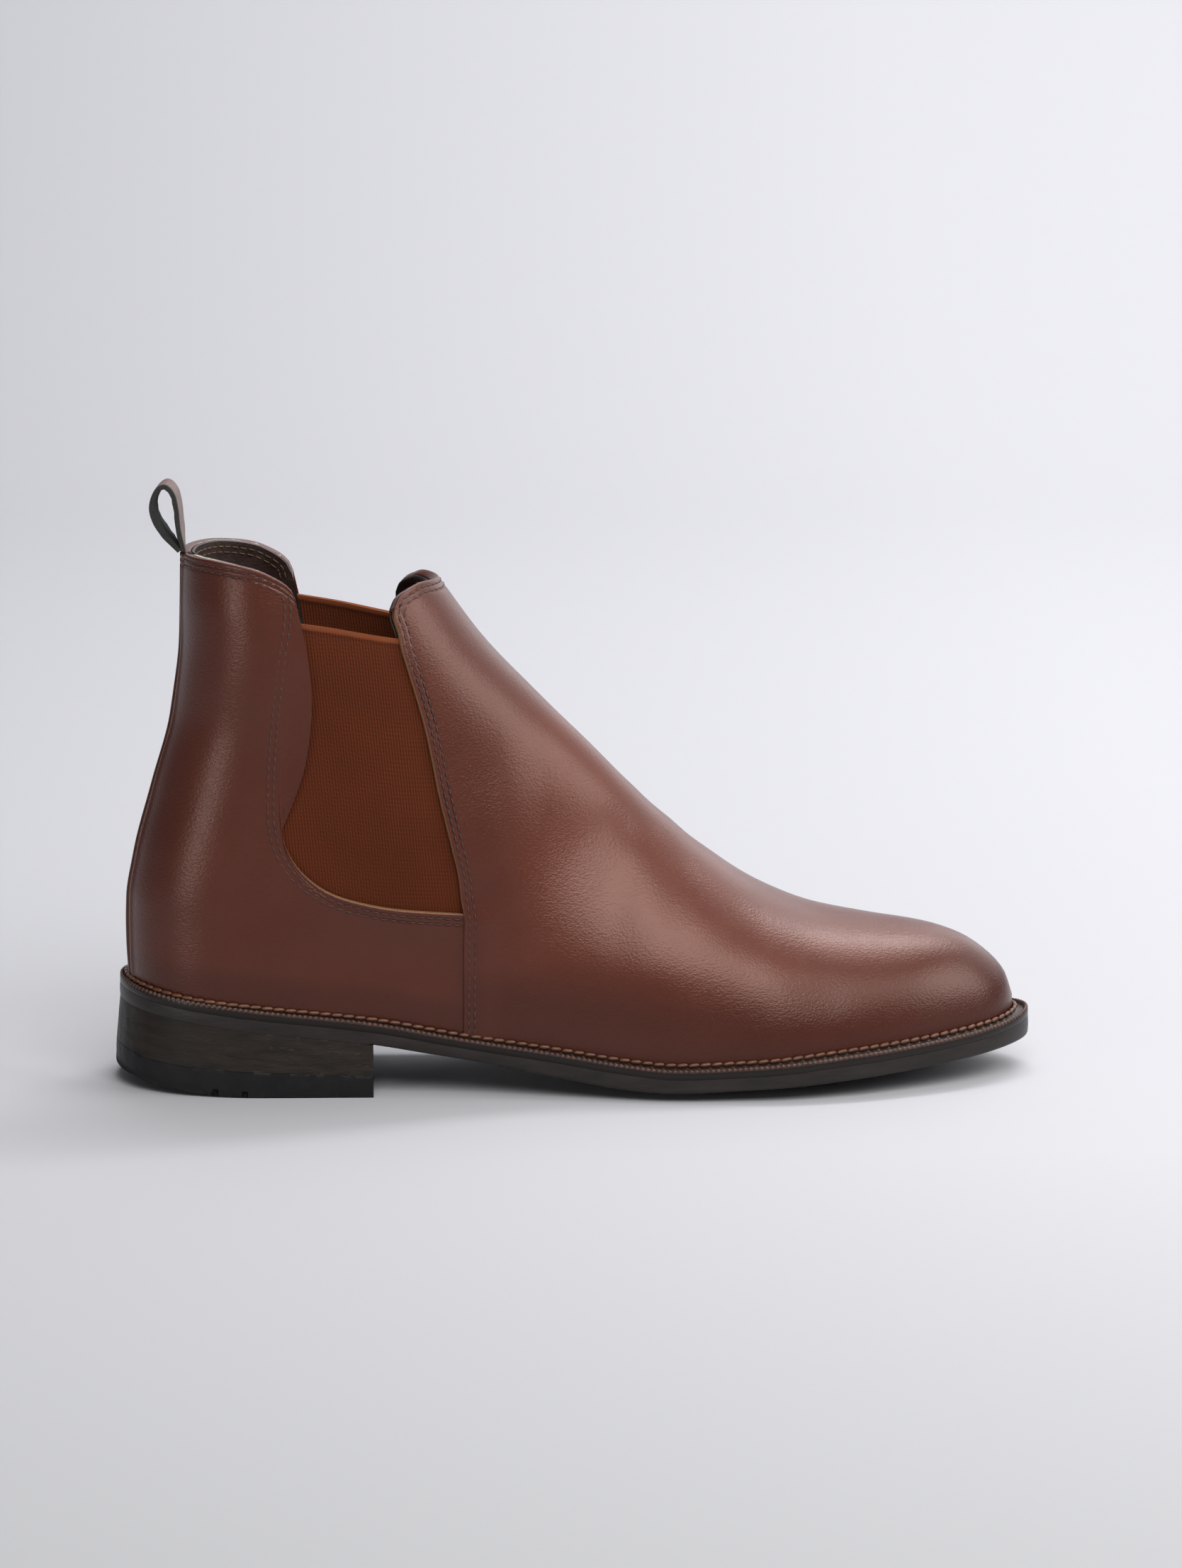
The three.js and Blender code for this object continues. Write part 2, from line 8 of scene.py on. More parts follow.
import bpy
import numpy as np
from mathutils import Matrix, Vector


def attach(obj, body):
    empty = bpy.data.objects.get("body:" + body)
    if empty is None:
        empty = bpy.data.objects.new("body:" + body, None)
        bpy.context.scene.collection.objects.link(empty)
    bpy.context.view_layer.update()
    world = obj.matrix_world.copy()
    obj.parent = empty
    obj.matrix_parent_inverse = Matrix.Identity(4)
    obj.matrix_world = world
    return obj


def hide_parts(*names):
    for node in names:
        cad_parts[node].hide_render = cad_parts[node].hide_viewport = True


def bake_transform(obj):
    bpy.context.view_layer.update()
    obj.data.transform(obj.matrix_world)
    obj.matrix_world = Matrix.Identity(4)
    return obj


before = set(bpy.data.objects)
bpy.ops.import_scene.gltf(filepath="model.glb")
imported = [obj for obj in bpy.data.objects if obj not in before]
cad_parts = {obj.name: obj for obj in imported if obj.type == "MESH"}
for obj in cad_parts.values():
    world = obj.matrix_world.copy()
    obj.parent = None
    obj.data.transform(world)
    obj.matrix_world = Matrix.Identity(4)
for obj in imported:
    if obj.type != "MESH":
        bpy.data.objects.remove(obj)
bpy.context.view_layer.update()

PI = math.pi
# ---- sizes, mm ----
ORIGIN_X = 62.0
SOLE_LENGTH = 304.0
TOE_X = 298.7          # tip of the upper
BREAST_X = 83.5        # front of the heel
LEATHER = 1.6
MIDDLE = (2.0, 3.0)    # depths of the gores' faces, below the leather's face
LINING = (3.35, 4.4)   # and of the lining's
VAMP_BACK = 113.4      # side seam
COLLAR_Z = 176.8
LAP_RISE = 1.15        # vamp's edge above the quarter at the side seam
STITCH = 3.0           # stitch pitch on the upper
ROWS = (1.9, 3.8)      # stitch rows from the leather's edge


# ---- curves ----
def through(*pts):
    """Smooth monotone curve through points (x, y)."""
    x, y = np.array(pts, float).T
    h = np.diff(x)
    d = np.diff(y) / h
    m = np.zeros(len(x))
    m[0], m[-1] = d[0], d[-1]
    for i in range(1, len(x) - 1):
        if d[i - 1] * d[i] > 0:
            m[i] = 3 * (h[i - 1] + h[i]) / ((2 * h[i] + h[i - 1]) / d[i - 1] + (h[i] + 2 * h[i - 1]) / d[i])

    def f(q):
        q = np.clip(q, x[0], x[-1])
        i = np.clip(np.searchsorted(x, q) - 1, 0, len(h) - 1)
        t = (q - x[i]) / h[i]
        a = (2 * t**3 - 3 * t**2 + 1) * y[i] + (t**3 - 2 * t**2 + t) * h[i] * m[i]
        return a + (-2 * t**3 + 3 * t**2) * y[i + 1] + (t**3 - t**2) * h[i] * m[i + 1]

    return f


def outline(*pts):
    f = through(*[(x, w * w) for x, w in pts])
    return lambda x: np.sqrt(np.maximum(0, f(x)))


def spline(pts, n):
    """n + 1 points of a Catmull-Rom curve through pts."""
    p = np.array(pts, float)
    t = np.linspace(0, len(p) - 1, n + 1)
    i = np.minimum(t.astype(int), len(p) - 2)
    w = (t - i)[:, None]
    p0, p1, p2, p3 = p[np.maximum(i - 1, 0)], p[i], p[i + 1], p[np.minimum(i + 2, len(p) - 1)]
    a, b = (p2 - p0) * 0.5, (p3 - p1) * 0.5
    return (2 * p1 - 2 * p2 + a + b) * w**3 + (-3 * p1 + 3 * p2 - 2 * a - b) * w**2 + a * w + p1


def smooth(u):
    u = np.clip(u, 0, 1)
    return u * u * (3 - 2 * u)


def lerp(a, b, w):
    return a + (b - a) * w


def unit(a):
    return a / np.maximum(1e-12, np.linalg.norm(a, axis=-1, keepdims=True))


def arcs(points):
    return np.r_[0, np.cumsum(np.linalg.norm(np.diff(points, axis=0), axis=1))]


bead = through((0, 35.2), (8, 33.9), (20, 32), (44, 29), (83, 24.6), (115, 19), (141, 15.6), (168, 11.9),
               (182, 10.8), (207, 11.7), (240, 14.2), (264, 15.9), (290, 18.2), (298, 19.4), (304, 20.6))
ridge = through((-10, 344), (60, 238), (105, 170), (121, 148), (140, 127.5), (159, 108.5), (177.5, 90),
                (196.5, 74), (215, 62), (232, 55.2), (250, 51.8), (268, 49), (280, 45.4), (290, 39.2),
                (296, 32.3), (TOE_X, 24))
heel_curve = through((30, 3.6), (36, 2.7), (47, 2.3), (62, 2.6), (76, 5.1), (100, 11.3), (124, 18.0),
                     (147, 21.2), (165, 21.7), (190, 22.2))
sole_lateral = outline((0, 0), (3, 14), (10, 24), (25, 32), (45, 35.5), (80, 36.5), (110, 38), (150, 45),
                       (190, 52), (215, 52.5), (240, 48.5), (265, 39), (285, 28), (297, 17),
                       (SOLE_LENGTH, 0))
sole_medial = outline((0, 0), (3, 14), (10, 24), (25, 31.5), (45, 34), (80, 32), (110, 29.5), (150, 35),
                      (190, 47), (215, 50.5), (240, 48), (265, 39), (285, 28), (297, 17),
                      (SOLE_LENGTH, 0))
foot_lateral = outline((2, 31.5), (80, 32), (110, 33.5), (150, 39.5), (190, 46), (213, 46.5), (237, 42.3),
                       (260, 34.5), (280, 24), (291, 16), (TOE_X, 0))
foot_medial = outline((2, 30.5), (60, 29.5), (80, 28.5), (110, 26.5), (150, 31), (190, 41.5), (213, 44.5),
                      (237, 42), (260, 34.5), (280, 24), (291, 16), (TOE_X, 0))
ankle_width = through((0, 31.5), (55, 32), (100, 39.5), (126, 38.5), (142, 35), (158, 33.5), (175, 37),
                      (200, 44), (260, 33), (TOE_X, 5))
top_width = through((0, 39.5), (60, 39.5), (95, 43), (140, 44))
ridge_shift = through((100, 0), (150, 2), (215, 3), (260, 2), (TOE_X, 0))
sole_edge_z = through((0, 27.8), (44, 21.7), (83, 17.4), (100, 14.6), (128, 10.1), (155, 5.4), (168, 3.7),
                      (180, 3.1), (208, 4.2), (253, 7.2), (285, 9.6), (SOLE_LENGTH, 11.4))
crown = through((84, 0), (120, 2), (170, 3.3), (250, 3.2), (SOLE_LENGTH, 0.5))
lift_top_z = through((0, 13.3), (10.7, 11), (32, 9.2), (56, 8.2), (84, 6.9))


def lift_bottom_z(x):
    return 5.2 * np.maximum(0, (45 - x) / 45) ** 1.7


def feather(x):
    return bead(x) - 2.4


# ---- outer face of the upper ----
_rx = np.r_[np.full(13, TOE_X), TOE_X - (TOE_X - 104.8) * (np.arange(1, 501) / 500) ** 2]
_rz = np.r_[np.linspace(feather(TOE_X), ridge(TOE_X), 13), ridge(_rx[13:])]
_rl = arcs(np.c_[_rx, _rz])
HEEL_Z = (32.7, 187.0)


def on_ridge(v):
    want = _rl[-1] * np.maximum(0, v) ** 1.4
    x = np.interp(want, _rl, _rx)
    return x, np.where(x < TOE_X, ridge(x), np.interp(want, _rl, _rz))


def side_view(t, v):
    bz = lerp(HEEL_Z[0], HEEL_Z[1], v)
    bx = heel_curve(bz)
    fx, fz = on_ridge(v)
    x = lerp(bx, fx, t)
    low = lerp(HEEL_Z[0], feather(TOE_X), (x - 2.8) / (TOE_X - 2.8))
    fade = np.maximum(0, 1 - v) ** 3 * (1 - (1 - t) ** 12) * (1 - t**40)
    return x, lerp(bz, fz, t) + (feather(x) - low) * fade


def half_width(x, z, lateral):
    shift = ridge_shift(x)
    foot = np.where(lateral, foot_lateral(x) + shift, foot_medial(x) - shift)
    body = lerp(foot, ankle_width(x), smooth((z - 38) / 57))
    wide = lerp(body, top_width(x), smooth((z - 104) / 61))
    h = np.clip((z - feather(x)) / np.maximum(0.5, ridge(x) - feather(x)), 0, 1)
    q = np.clip(1 - (x - heel_curve(z)) / 35, 0, 1)
    return wide * np.sqrt(1 - h**2.3) * np.sqrt(1 - q**2.2)


def face(phi, v):
    phi, v = np.broadcast_arrays(np.asarray(phi, float), np.asarray(v, float))
    t = (1 - np.cos(phi)) / 2
    x, z = side_view(t, v)
    lateral = np.sin(phi) >= 0
    w = np.where((t <= 0) | (t >= 1), 0, half_width(x, z, lateral))
    return np.stack([x, ridge_shift(x) + np.where(lateral, -w, w), z], -1)


def frame_at(phi, v):
    """Point on the outer face, its two tangents and its outward normal."""
    e = 0.004
    du = (face(phi + e, v) - face(phi - e, v)) / (2 * e)
    v0 = np.maximum(0, v - e)
    dv = (face(phi, v + e) - face(phi, v0)) / (v + e - v0)[..., None]
    return face(phi, v), du, dv, unit(np.cross(du, dv))


def skin(phi, v, depth=0.0):
    p, _, _, n = frame_at(np.asarray(phi, float), np.asarray(v, float))
    return p - n * np.asarray(depth, float)[..., None]


def on_face(q):
    """Points of the outer face, q being an array of (phi, v)."""
    return face(q[..., 0], q[..., 1])


def below(q, depth):
    """Points that far below the outer face."""
    return skin(q[..., 0], q[..., 1], depth)


def locate(x, z):
    """(x, z) in the side view to (phi, v)."""
    lo, hi = -0.02, 1.02
    for _ in range(44):
        v = (lo + hi) / 2
        bx = heel_curve(lerp(HEEL_Z[0], HEEL_Z[1], v))
        t = float(np.clip((x - bx) / (on_ridge(v)[0] - bx), 0, 1))
        if side_view(t, v)[1] < z:
            lo = v
        else:
            hi = v
    return np.array([math.acos(1 - 2 * t), max(0.0, (lo + hi) / 2)])


def along(q, length, want):
    """The (phi, v) line q at the wanted distances, length being the distance at each of its points."""
    return np.stack([np.interp(want, length, q[:, 0]), np.interp(want, length, q[:, 1])], -1)


def by_length(q):
    """The (phi, v) line q as a function of the share of its length."""
    length = arcs(on_face(q))

    def f(s):
        return along(q, length, np.asarray(s, float) * length[-1])

    f.length = length[-1]
    return f


def edge(*pts):
    """Edge of a piece, through side-view points or (phi, v) arrays, evenly spaced along the surface."""
    knots = [p if isinstance(p, np.ndarray) else locate(*p) for p in pts]
    return by_length(spline(knots, len(knots) * 12))


def coons(left, right, bottom, top):
    def f(s, t):
        s, t = np.broadcast_arrays(np.asarray(s, float), np.asarray(t, float))
        s1, t1 = s[..., None], t[..., None]
        p = bottom(s) * (1 - t1) + top(s) * t1 + left(t) * (1 - s1) + right(t) * s1
        p = p - bottom(0) * (1 - s1) * (1 - t1) - bottom(1) * s1 * (1 - t1)
        return p - top(0) * (1 - s1) * t1 - top(1) * s1 * t1

    return f


def at(phi, v):
    return np.array([float(phi), float(v)])


back_top = locate(float(heel_curve(COLLAR_Z)), COLLAR_Z)[1]
collar = [(25, 177.4), (32, 177.3), (41.5, 176.1), (47, 174.9), (51.5, 173), (55.3, 170.8), (58, 168.1),
          (59.2, 164.3)]
gore_back = [(59.2, 158.4), (57.3, 145.8), (55.4, 130), (53.8, 112), (53.2, 97), (54, 87), (56.8, 79.6)]
gore_foot = [(61.3, 73.6), (68.3, 68.3), (77.5, 64.9), (91.4, 62.2)]
gore_front = [(112.4, 68), (109.4, 84), (105.8, 99.5), (102.8, 115), (98.6, 132), (94.4, 146)]
flap_side = [(92.8, 153.5), (91.3, 158.3), (91.5, 161.6)]
flap_top = [(93.4, 165), (97, 167.2), (101.5, 168.4)]

foot_phi = locate(VAMP_BACK, float(feather(VAMP_BACK)))[0]
vamp_foot = at(foot_phi, 0)
vamp_side = edge(vamp_foot, (VAMP_BACK, 40), (VAMP_BACK, 60.5), *gore_front, *flap_side)
vamp_top = edge(flap_side[-1], *flap_top, at(PI, 0.993))
vamp_half = coons(vamp_side, edge(at(PI, 0), at(PI, 0.25), at(PI, 0.5), at(PI, 0.75), at(PI, 0.993)),
                  edge(vamp_foot, at(lerp(foot_phi, PI, 0.5), 0), at(PI, 0)), vamp_top)

UNDER = 5.0  # the quarter runs this far under the vamp
quarter_end = VAMP_BACK + UNDER
quarter_foot = at(locate(quarter_end, float(feather(quarter_end)))[0], 0)
quarter_top = edge(at(0, back_top), *collar, *gore_back, *gore_foot, (VAMP_BACK, 60.6), (quarter_end, 60.3))
quarter_half = coons(edge(at(0, 0), at(0, 0.5), at(0, back_top)),
                     edge(quarter_foot, (quarter_end, 35), (quarter_end, 48), (quarter_end, 60.3)),
                     edge(at(0, 0), at(quarter_foot[0] / 2, 0), quarter_foot), quarter_top)

LAP = 6.0
gore_half = coons(
    edge(*[(x - LAP, z) for x, z in gore_back[::-1]]),
    edge((112.4 + LAP, 57.5), *[(x + LAP, z) for x, z in gore_front], (100.5, 150.6)),
    edge((56.8 - LAP, 79.6), (56, 70), (64, 63.4), (76, 59.6), (91.4, 57.4), (112.4 + LAP, 57.5)),
    edge((59.2 - LAP, 158.4), (72, 155.6), (86, 153), (100.5, 150.6)))


# ---- noise: fixed sums of sines, so that every run gives the same shapes ----
def ripple(a, b, scale, seed, octaves=4):
    rng = np.random.default_rng(seed)
    out = np.zeros(np.broadcast(a, b).shape)
    amp = 1.0
    for k in range(octaves):
        for _ in range(5):
            ang, ph = rng.uniform(0, 2 * PI, 2)
            f = 2 * PI / scale * 1.9**k * rng.uniform(0.7, 1.3)
            out += amp * 0.4 * np.sin(f * (a * math.cos(ang) + b * math.sin(ang)) + ph)
        amp *= 0.5
    return out


# ---- meshes ----
def linked(name, data):
    ob = bpy.data.objects.new(name, data)
    bpy.context.scene.collection.objects.link(ob)
    return ob


def follow(ob, body, bend):
    """A piece rides on one body, or, meant to bend with the sole, is left unattached with its transform
    baked.
    """
    if bend:
        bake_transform(ob)
    else:
        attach(ob, body)


def make(name, points, faces, material, node=None, slot=None, body="boot", bend=False, sharp=35, values=None):
    """Object from points in mm. values: {attribute: one number per point}."""
    p = (np.asarray(points, float).reshape(-1, 3) - [ORIGIN_X, 0, 0]) * 0.001
    # points within half a thousandth of a millimetre are one
    key = np.round(p * 2e6).astype(np.int64)
    _, first, inverse = np.unique(key, axis=0, return_index=True, return_inverse=True)
    p = p[first]
    polys = []
    for f in inverse.ravel()[faces].tolist():
        g = [a for i, a in enumerate(f) if a != f[i - 1]]
        if len(g) > 2 and len(set(g)) == len(g):
            polys.append(g)
    mesh = bpy.data.meshes.new(name)
    mesh.from_pydata(p.tolist(), [], polys)
    for attribute, numbers in (values or {}).items():
        layer = mesh.attributes.new(attribute, "FLOAT", "POINT")
        layer.data.foreach_set("value", np.asarray(numbers, np.float32).ravel()[first])
    mesh.validate()
    mesh.polygons.foreach_set("use_smooth", np.ones(len(mesh.polygons), bool))
    mesh.update()
    mesh.calc_loop_triangles()
    tri = np.zeros(len(mesh.loop_triangles) * 3, int)
    mesh.loop_triangles.foreach_get("vertices", tri)
    tri = p[tri.reshape(-1, 3)] - p.mean(0)
    volume = np.einsum("ij,ij->i", tri[:, 0], np.cross(tri[:, 1], tri[:, 2])).sum()
    if volume < 0:
        mesh.flip_normals()
    mesh.set_sharp_from_angle(angle=math.radians(sharp))
    ob = linked(name, mesh)
    mesh.materials.append(material)
    if node:
        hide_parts(*([node] if isinstance(node, str) else node))
    follow(ob, body, bend)


def grid_faces(n, m, offset=0):
    i = np.arange(n - 1)[:, None] * m + np.arange(m - 1)[None, :] + offset
    return np.stack([i, i + m, i + m + 1, i + 1], -1).reshape(-1, 4)


def shell(outer, inner):
    """Points and faces of the closed solid between two grids of points, (n, m, 3) each."""
    n, m = outer.shape[:2]
    k = n * m
    a = grid_faces(n, m)
    b = grid_faces(n, m, k)[:, ::-1]
    i = np.arange(n - 1) * m
    j = np.arange(m - 1)
    s = [np.stack([i, i + k, i + m + k, i + m], -1),
         np.stack([i + m - 1, i + 2 * m - 1, i + 2 * m - 1 + k, i + m - 1 + k], -1),
         np.stack([j, j + 1, j + 1 + k, j + k], -1),
         np.stack([j + (n - 1) * m, j + (n - 1) * m + k, j + 1 + (n - 1) * m + k, j + 1 + (n - 1) * m], -1)]
    return np.concatenate([outer.reshape(-1, 3), inner.reshape(-1, 3)]), np.concatenate([a, b, *s])


def both_faces(outer, inner=None):
    """Numbers for a shell's points, the outer grid's and then the inner's."""
    return np.r_[outer.ravel(), (outer if inner is None else inner).ravel()]


def copies(faces, count, size):
    """The faces of count equal pieces with size points each."""
    return (np.arange(count)[:, None, None] * size + faces[None]).reshape(-1, 4)


def ring_faces(n, m):
    """Faces of a grid closed in both directions."""
    i = np.arange(n)[:, None]
    j = np.arange(m)[None, :]
    i1, j1 = (i + 1) % n, (j + 1) % m
    return np.stack([i * m + j, i1 * m + j, i1 * m + j1, i * m + j1], -1).reshape(-1, 4)


def stations(total, near, step):
    """Distances from an edge: the near ones, then about one per step up to total."""
    near = np.array([d for d in near if d < total * 0.6])
    count = max(2, int(round((total - near[-1]) / step)))
    return np.r_[near, near[-1] + (total - near[-1]) * np.arange(1, count + 1) / count]


def squeezed(total, near, count):
    """count distances from an edge; the near ones are squeezed where the piece is narrow."""
    head = np.array(near) * min(1.0, total * 0.5 / near[-1])
    rest = count - len(near)
    return np.r_[head, head[-1] + (total - head[-1]) * np.arange(1, rest + 1) / rest]


def param_at(line, total_wanted, count=260):
    """line(u) gives (phi, v); the u at each wanted share of its length, and the length."""
    u = np.linspace(0, 1, count)
    q = line(u)
    length = arcs(on_face(q))
    return np.interp(total_wanted(length[-1]), length, u), length[-1]


# distances from an edge at which a grid has its rows: close together over the edge and the stitches
NEAR = [0, 0.12, 0.3, 0.55, 0.9, 1.3, 1.6, 1.9, 2.2, 2.5, 2.9, 3.2, 3.5, 3.8, 4.1, 4.4, 4.8, 5.6, 6.6, 7.8,
        9.2]
BACK_NEAR = [0, 0.3, 0.6, 0.9, 1.2, 1.6, 2, 2.5, 3, 3.6, 4.2, 5, 6, 7.2, 8.6]


GROOVE = 0.16


def edge_drop(e, r=0.6):
    """How far the face falls away at distance e from a cut edge."""
    k = np.clip(r - e, 0, r)
    return r - np.sqrt(np.maximum(0, r * r - k * k))


def grooves(e, depth=GROOVE):
    """The stitch rows pull the leather down, at distance e from the edge."""
    return sum(depth * np.exp(-(((e - r) / 0.42) ** 2)) for r in ROWS)


def mirror(q, flap=False):
    """(phi, v) of the lateral side to the medial side, where the flap stands a little further forward."""
    if flap:
        _, z = side_view((1 - np.cos(q[..., 0])) / 2, q[..., 1])
        forward = 0.085 * smooth((z - 135) / 25) * smooth((PI - q[..., 0]) / 0.8)
    else:
        forward = 0
    return np.stack([2 * PI - q[..., 0] - forward, q[..., 1]], -1)


def seam_y(z):
    """The back seam runs a little to the lateral side of the middle."""
    return lerp(-8.0, -4.0, np.clip((z - 40) / 137, 0, 1))


# ---- materials ----
VORONOI = "ShaderNodeTexVoronoi"


class Look:
    """A material whose nodes are joined up one after another."""

    def __init__(self, name, stretch=None):
        self.material = bpy.data.materials.new(name)
        self.material.use_nodes = True
        self.tree = self.material.node_tree
        self.inputs = self.tree.nodes["Principled BSDF"].inputs
        self.place = self.coords(stretch)

    def join(self, value, socket):
        if isinstance(value, bpy.types.NodeSocket):
            self.tree.links.new(value, socket)
        elif isinstance(value, tuple):
            socket.default_value = (*value, 1)
        else:
            socket.default_value = value

    def set(self, **values):
        """Inputs of the surface by name, with _ for each space."""
        for name, value in values.items():
            self.join(value, self.inputs[name.replace("_", " ")])

    def coords(self, stretch=None):
        place = self.tree.nodes.new("ShaderNodeTexCoord").outputs["Object"]
        if stretch is None:
            return place
        mapping = self.tree.nodes.new("ShaderNodeMapping")
        mapping.inputs["Scale"].default_value = stretch
        self.join(place, mapping.inputs["Vector"])
        return mapping.outputs["Vector"]

    def noise(self, scale, detail=3.0, roughness=0.5, kind="ShaderNodeTexNoise", place=None):
        node = self.tree.nodes.new(kind)
        values = {"Scale": scale, "Detail": detail, "Roughness": roughness, "Vector": place or self.place}
        for name, value in values.items():
            self.join(value, node.inputs[name])
        return node.outputs["Distance" if kind == VORONOI else "Fac"]

    def ramp(self, share, dark, light):
        node = self.tree.nodes.new("ShaderNodeValToRGB")
        for stop, at_share, colour in zip(node.color_ramp.elements, (0.3, 0.7), (dark, light)):
            stop.position = at_share
            stop.color = (*colour, 1)
        self.join(share, node.inputs["Fac"])
        return node.outputs["Color"]

    def mix(self, share, a, b):
        node = self.tree.nodes.new("ShaderNodeMix")
        node.data_type = "RGBA"
        for i, value in ((0, share), (6, a), (7, b)):
            self.join(value, node.inputs[i])
        return node.outputs[2]

    def attribute(self, name):
        node = self.tree.nodes.new("ShaderNodeAttribute")
        node.attribute_name = name
        return node.outputs["Fac"]

    def between(self, source, low, high, start=0.0, end=1.0):
        """low where source is at start, high where it is at end."""
        node = self.tree.nodes.new("ShaderNodeMapRange")
        values = {"Value": source, "From Min": start, "From Max": end, "To Min": low, "To Max": high}
        for name, value in values.items():
            self.join(value, node.inputs[name])
        return node.outputs["Result"]

    def bump(self, distance, *layers):
        """layers: (height, strength)."""
        normal = None
        for height, strength in layers:
            node = self.tree.nodes.new("ShaderNodeBump")
            for name, value in {"Strength": strength, "Distance": distance, "Height": height}.items():
                self.join(value, node.inputs[name])
            if normal:
                self.join(normal, node.inputs["Normal"])
            normal = node.outputs["Normal"]
        self.set(Normal=normal)
        return normal


def calf_material():
    look = Look("calf")
    cloud = look.noise(24, 5, 0.6)
    base = look.ramp(cloud, (0.0800, 0.0195, 0.0115), (0.1030, 0.0270, 0.0160))
    # dark is a shaded copy of the calf colour, mixed in as painted shade
    dark = look.ramp(cloud, (0.0375, 0.0078, 0.0044), (0.0470, 0.0102, 0.0060))
    # painted shade (near the welt partly a real burnish): darker there, at the upper's rear and in stitch
    # rows
    base = look.mix(look.attribute("shade"), base, dark)
    fine = look.noise(420, 3, 0.6)
    base = look.mix(look.between(fine, 0, 0.30), base, (0.042, 0.0098, 0.0063))
    # painted shade in the back seam's furrow
    base = look.mix(look.attribute("seam"), base, (0.0084, 0.0035, 0.0028))
    base = look.mix(look.attribute("cut"), base, (0.196, 0.1015, 0.0455))
    rough = look.noise(90)
    # pebbled grain, a little longer one way, over fine pores
    pebble = look.noise(950, 2, 0.5, VORONOI, look.coords((1.0, 1.0, 1.5)))
    pores = look.noise(2600, 2, 0.5, VORONOI)
    normal = look.bump(0.0001, (pebble, 0.5), (pores, 0.12), (fine, 0.2))
    look.set(Base_Color=base, Roughness=look.between(rough, 0.32, 0.40), Specular_IOR_Level=0.42,
             Specular_Tint=(1.0, 0.50, 0.36), Coat_Weight=0.34,
             Coat_Roughness=look.between(rough, 0.20, 0.27), Coat_Normal=normal)
    return look.material


def lining_material():
    look = Look("lining_leather")
    base = look.ramp(look.noise(60, 4, 0.6), (0.014, 0.0066, 0.0052), (0.028, 0.0133, 0.0098))
    look.bump(0.0004, (look.noise(330, 4, 0.6), 0.5), (look.noise(900, 3, 0.5, VORONOI), 0.2))
    look.set(Base_Color=base, Roughness=0.42)
    return look.material


def elastic_material():
    look = Look("elastic")
    base = look.ramp(look.noise(45, 4, 0.6), (0.118, 0.0225, 0.0052), (0.150, 0.0295, 0.0070))
    fibre = look.noise(2400, 3, 0.6)
    base = look.mix(look.between(fibre, 0, 0.5), base, (0.042, 0.0098, 0.0035))
    # painted shade in the weave's valleys and in a band under the top cord
    base = look.mix(look.attribute("weave_shade"), base, (0.035, 0.0084, 0.0028))
    # painted highlight on the raised top cord
    base = look.mix(look.attribute("cord_highlight"), base, (0.182, 0.0525, 0.0196))
    look.bump(0.0002, (fibre, 0.5))
    look.set(Base_Color=base, Roughness=0.85, Specular_IOR_Level=0.15)
    return look.material


def tab_material():
    """Smooth leather where suede is 0, its dark rough side and inked edges where suede is 1."""
    look = Look("tab_strap")
    smooth_side = look.ramp(look.noise(150, 4, 0.6), (0.07, 0.035, 0.0266), (0.119, 0.0616, 0.0476))
    fuzz = look.noise(1500, 4, 0.7)
    dark = look.ramp(fuzz, (0.007, 0.007, 0.0063), (0.0238, 0.0238, 0.021))
    suede = look.attribute("suede")
    look.bump(0.0003, (fuzz, 0.35))
    look.set(Base_Color=look.mix(suede, smooth_side, dark), Roughness=look.between(suede, 0.42, 0.9))
    return look.material


def plain(name, colour, rough, vary=0.25, scale=120, bumps=0.2, bump_scale=600, stretch=None, metal=0.0,
          coat=0.0, other=None, shine=0.5):
    """Clouded colour, varied by the share vary. other: an attribute, and the colour where it is 1."""
    look = Look(name, stretch)
    dark, light = (tuple(min(1, c * share) for c in colour) for share in (1 - vary, 1 + vary))
    base = look.ramp(look.noise(scale, 4, 0.6), dark, light)
    if other:
        base = look.mix(look.attribute(other[0]), base, other[1])
    roughness = look.between(look.noise(scale * 2), rough * 0.85, min(1, rough * 1.15))
    look.bump(0.0003, (look.noise(bump_scale, 4, 0.6), bumps))
    look.set(Base_Color=base, Roughness=roughness, Metallic=metal, Specular_IOR_Level=shine, Coat_Weight=coat)
    return look.material


calf = calf_material()
lining_leather = lining_material()
elastic = elastic_material()
tab_leather = tab_material()
thread_dark = plain("thread_dark", (0.0504, 0.0189, 0.0126), 0.6, 0.3, 900, 0.5, 4000)
thread_gold = plain("thread_gold", (0.085, 0.043, 0.016), 0.6, 0.25, 900, 0.5, 4000)
# near-black dimples at the needle holes: painted shade standing in for the holes
hole_shade = plain("needle_hole", (0.0084, 0.0042, 0.0035), 0.9)
rope_thread = plain("welt_thread", (0.095, 0.034, 0.014), 0.34, 0.35, 500, 0.5, 3000, coat=0.2, shine=0.35)
# the welt darkens where the attribute is 1: real edge ink outside, painted shade between beads and by the
# rope
welt_leather = plain("welt_leather", (0.085, 0.040, 0.028), 0.38, 0.35, 160, 0.25, 900, coat=0.1,
                     other=("ink_and_shade", (0.0085, 0.0050, 0.0040)), shine=0.25)
sole_leather = plain("sole_leather", (0.0154, 0.0115, 0.0101), 0.4, 0.35, 70, 0.3, 500, (1, 1, 5), shine=0.3)
stack_leather = plain("stack_leather", (0.014, 0.0095, 0.007), 0.46, 0.5, 55, 0.4, 420, (1, 1, 8), shine=0.22)
lift_rubber = plain("lift_rubber", (0.0066, 0.0064, 0.0071), 0.5, 0.2, 200, 0.25, 1500, shine=0.2)
tab_dark = plain("tab_dark", (0.014, 0.014, 0.0126), 0.8, 0.4, 300, 0.6, 2500)
insole_leather = plain("insole_leather", (0.294, 0.182, 0.098), 0.7)
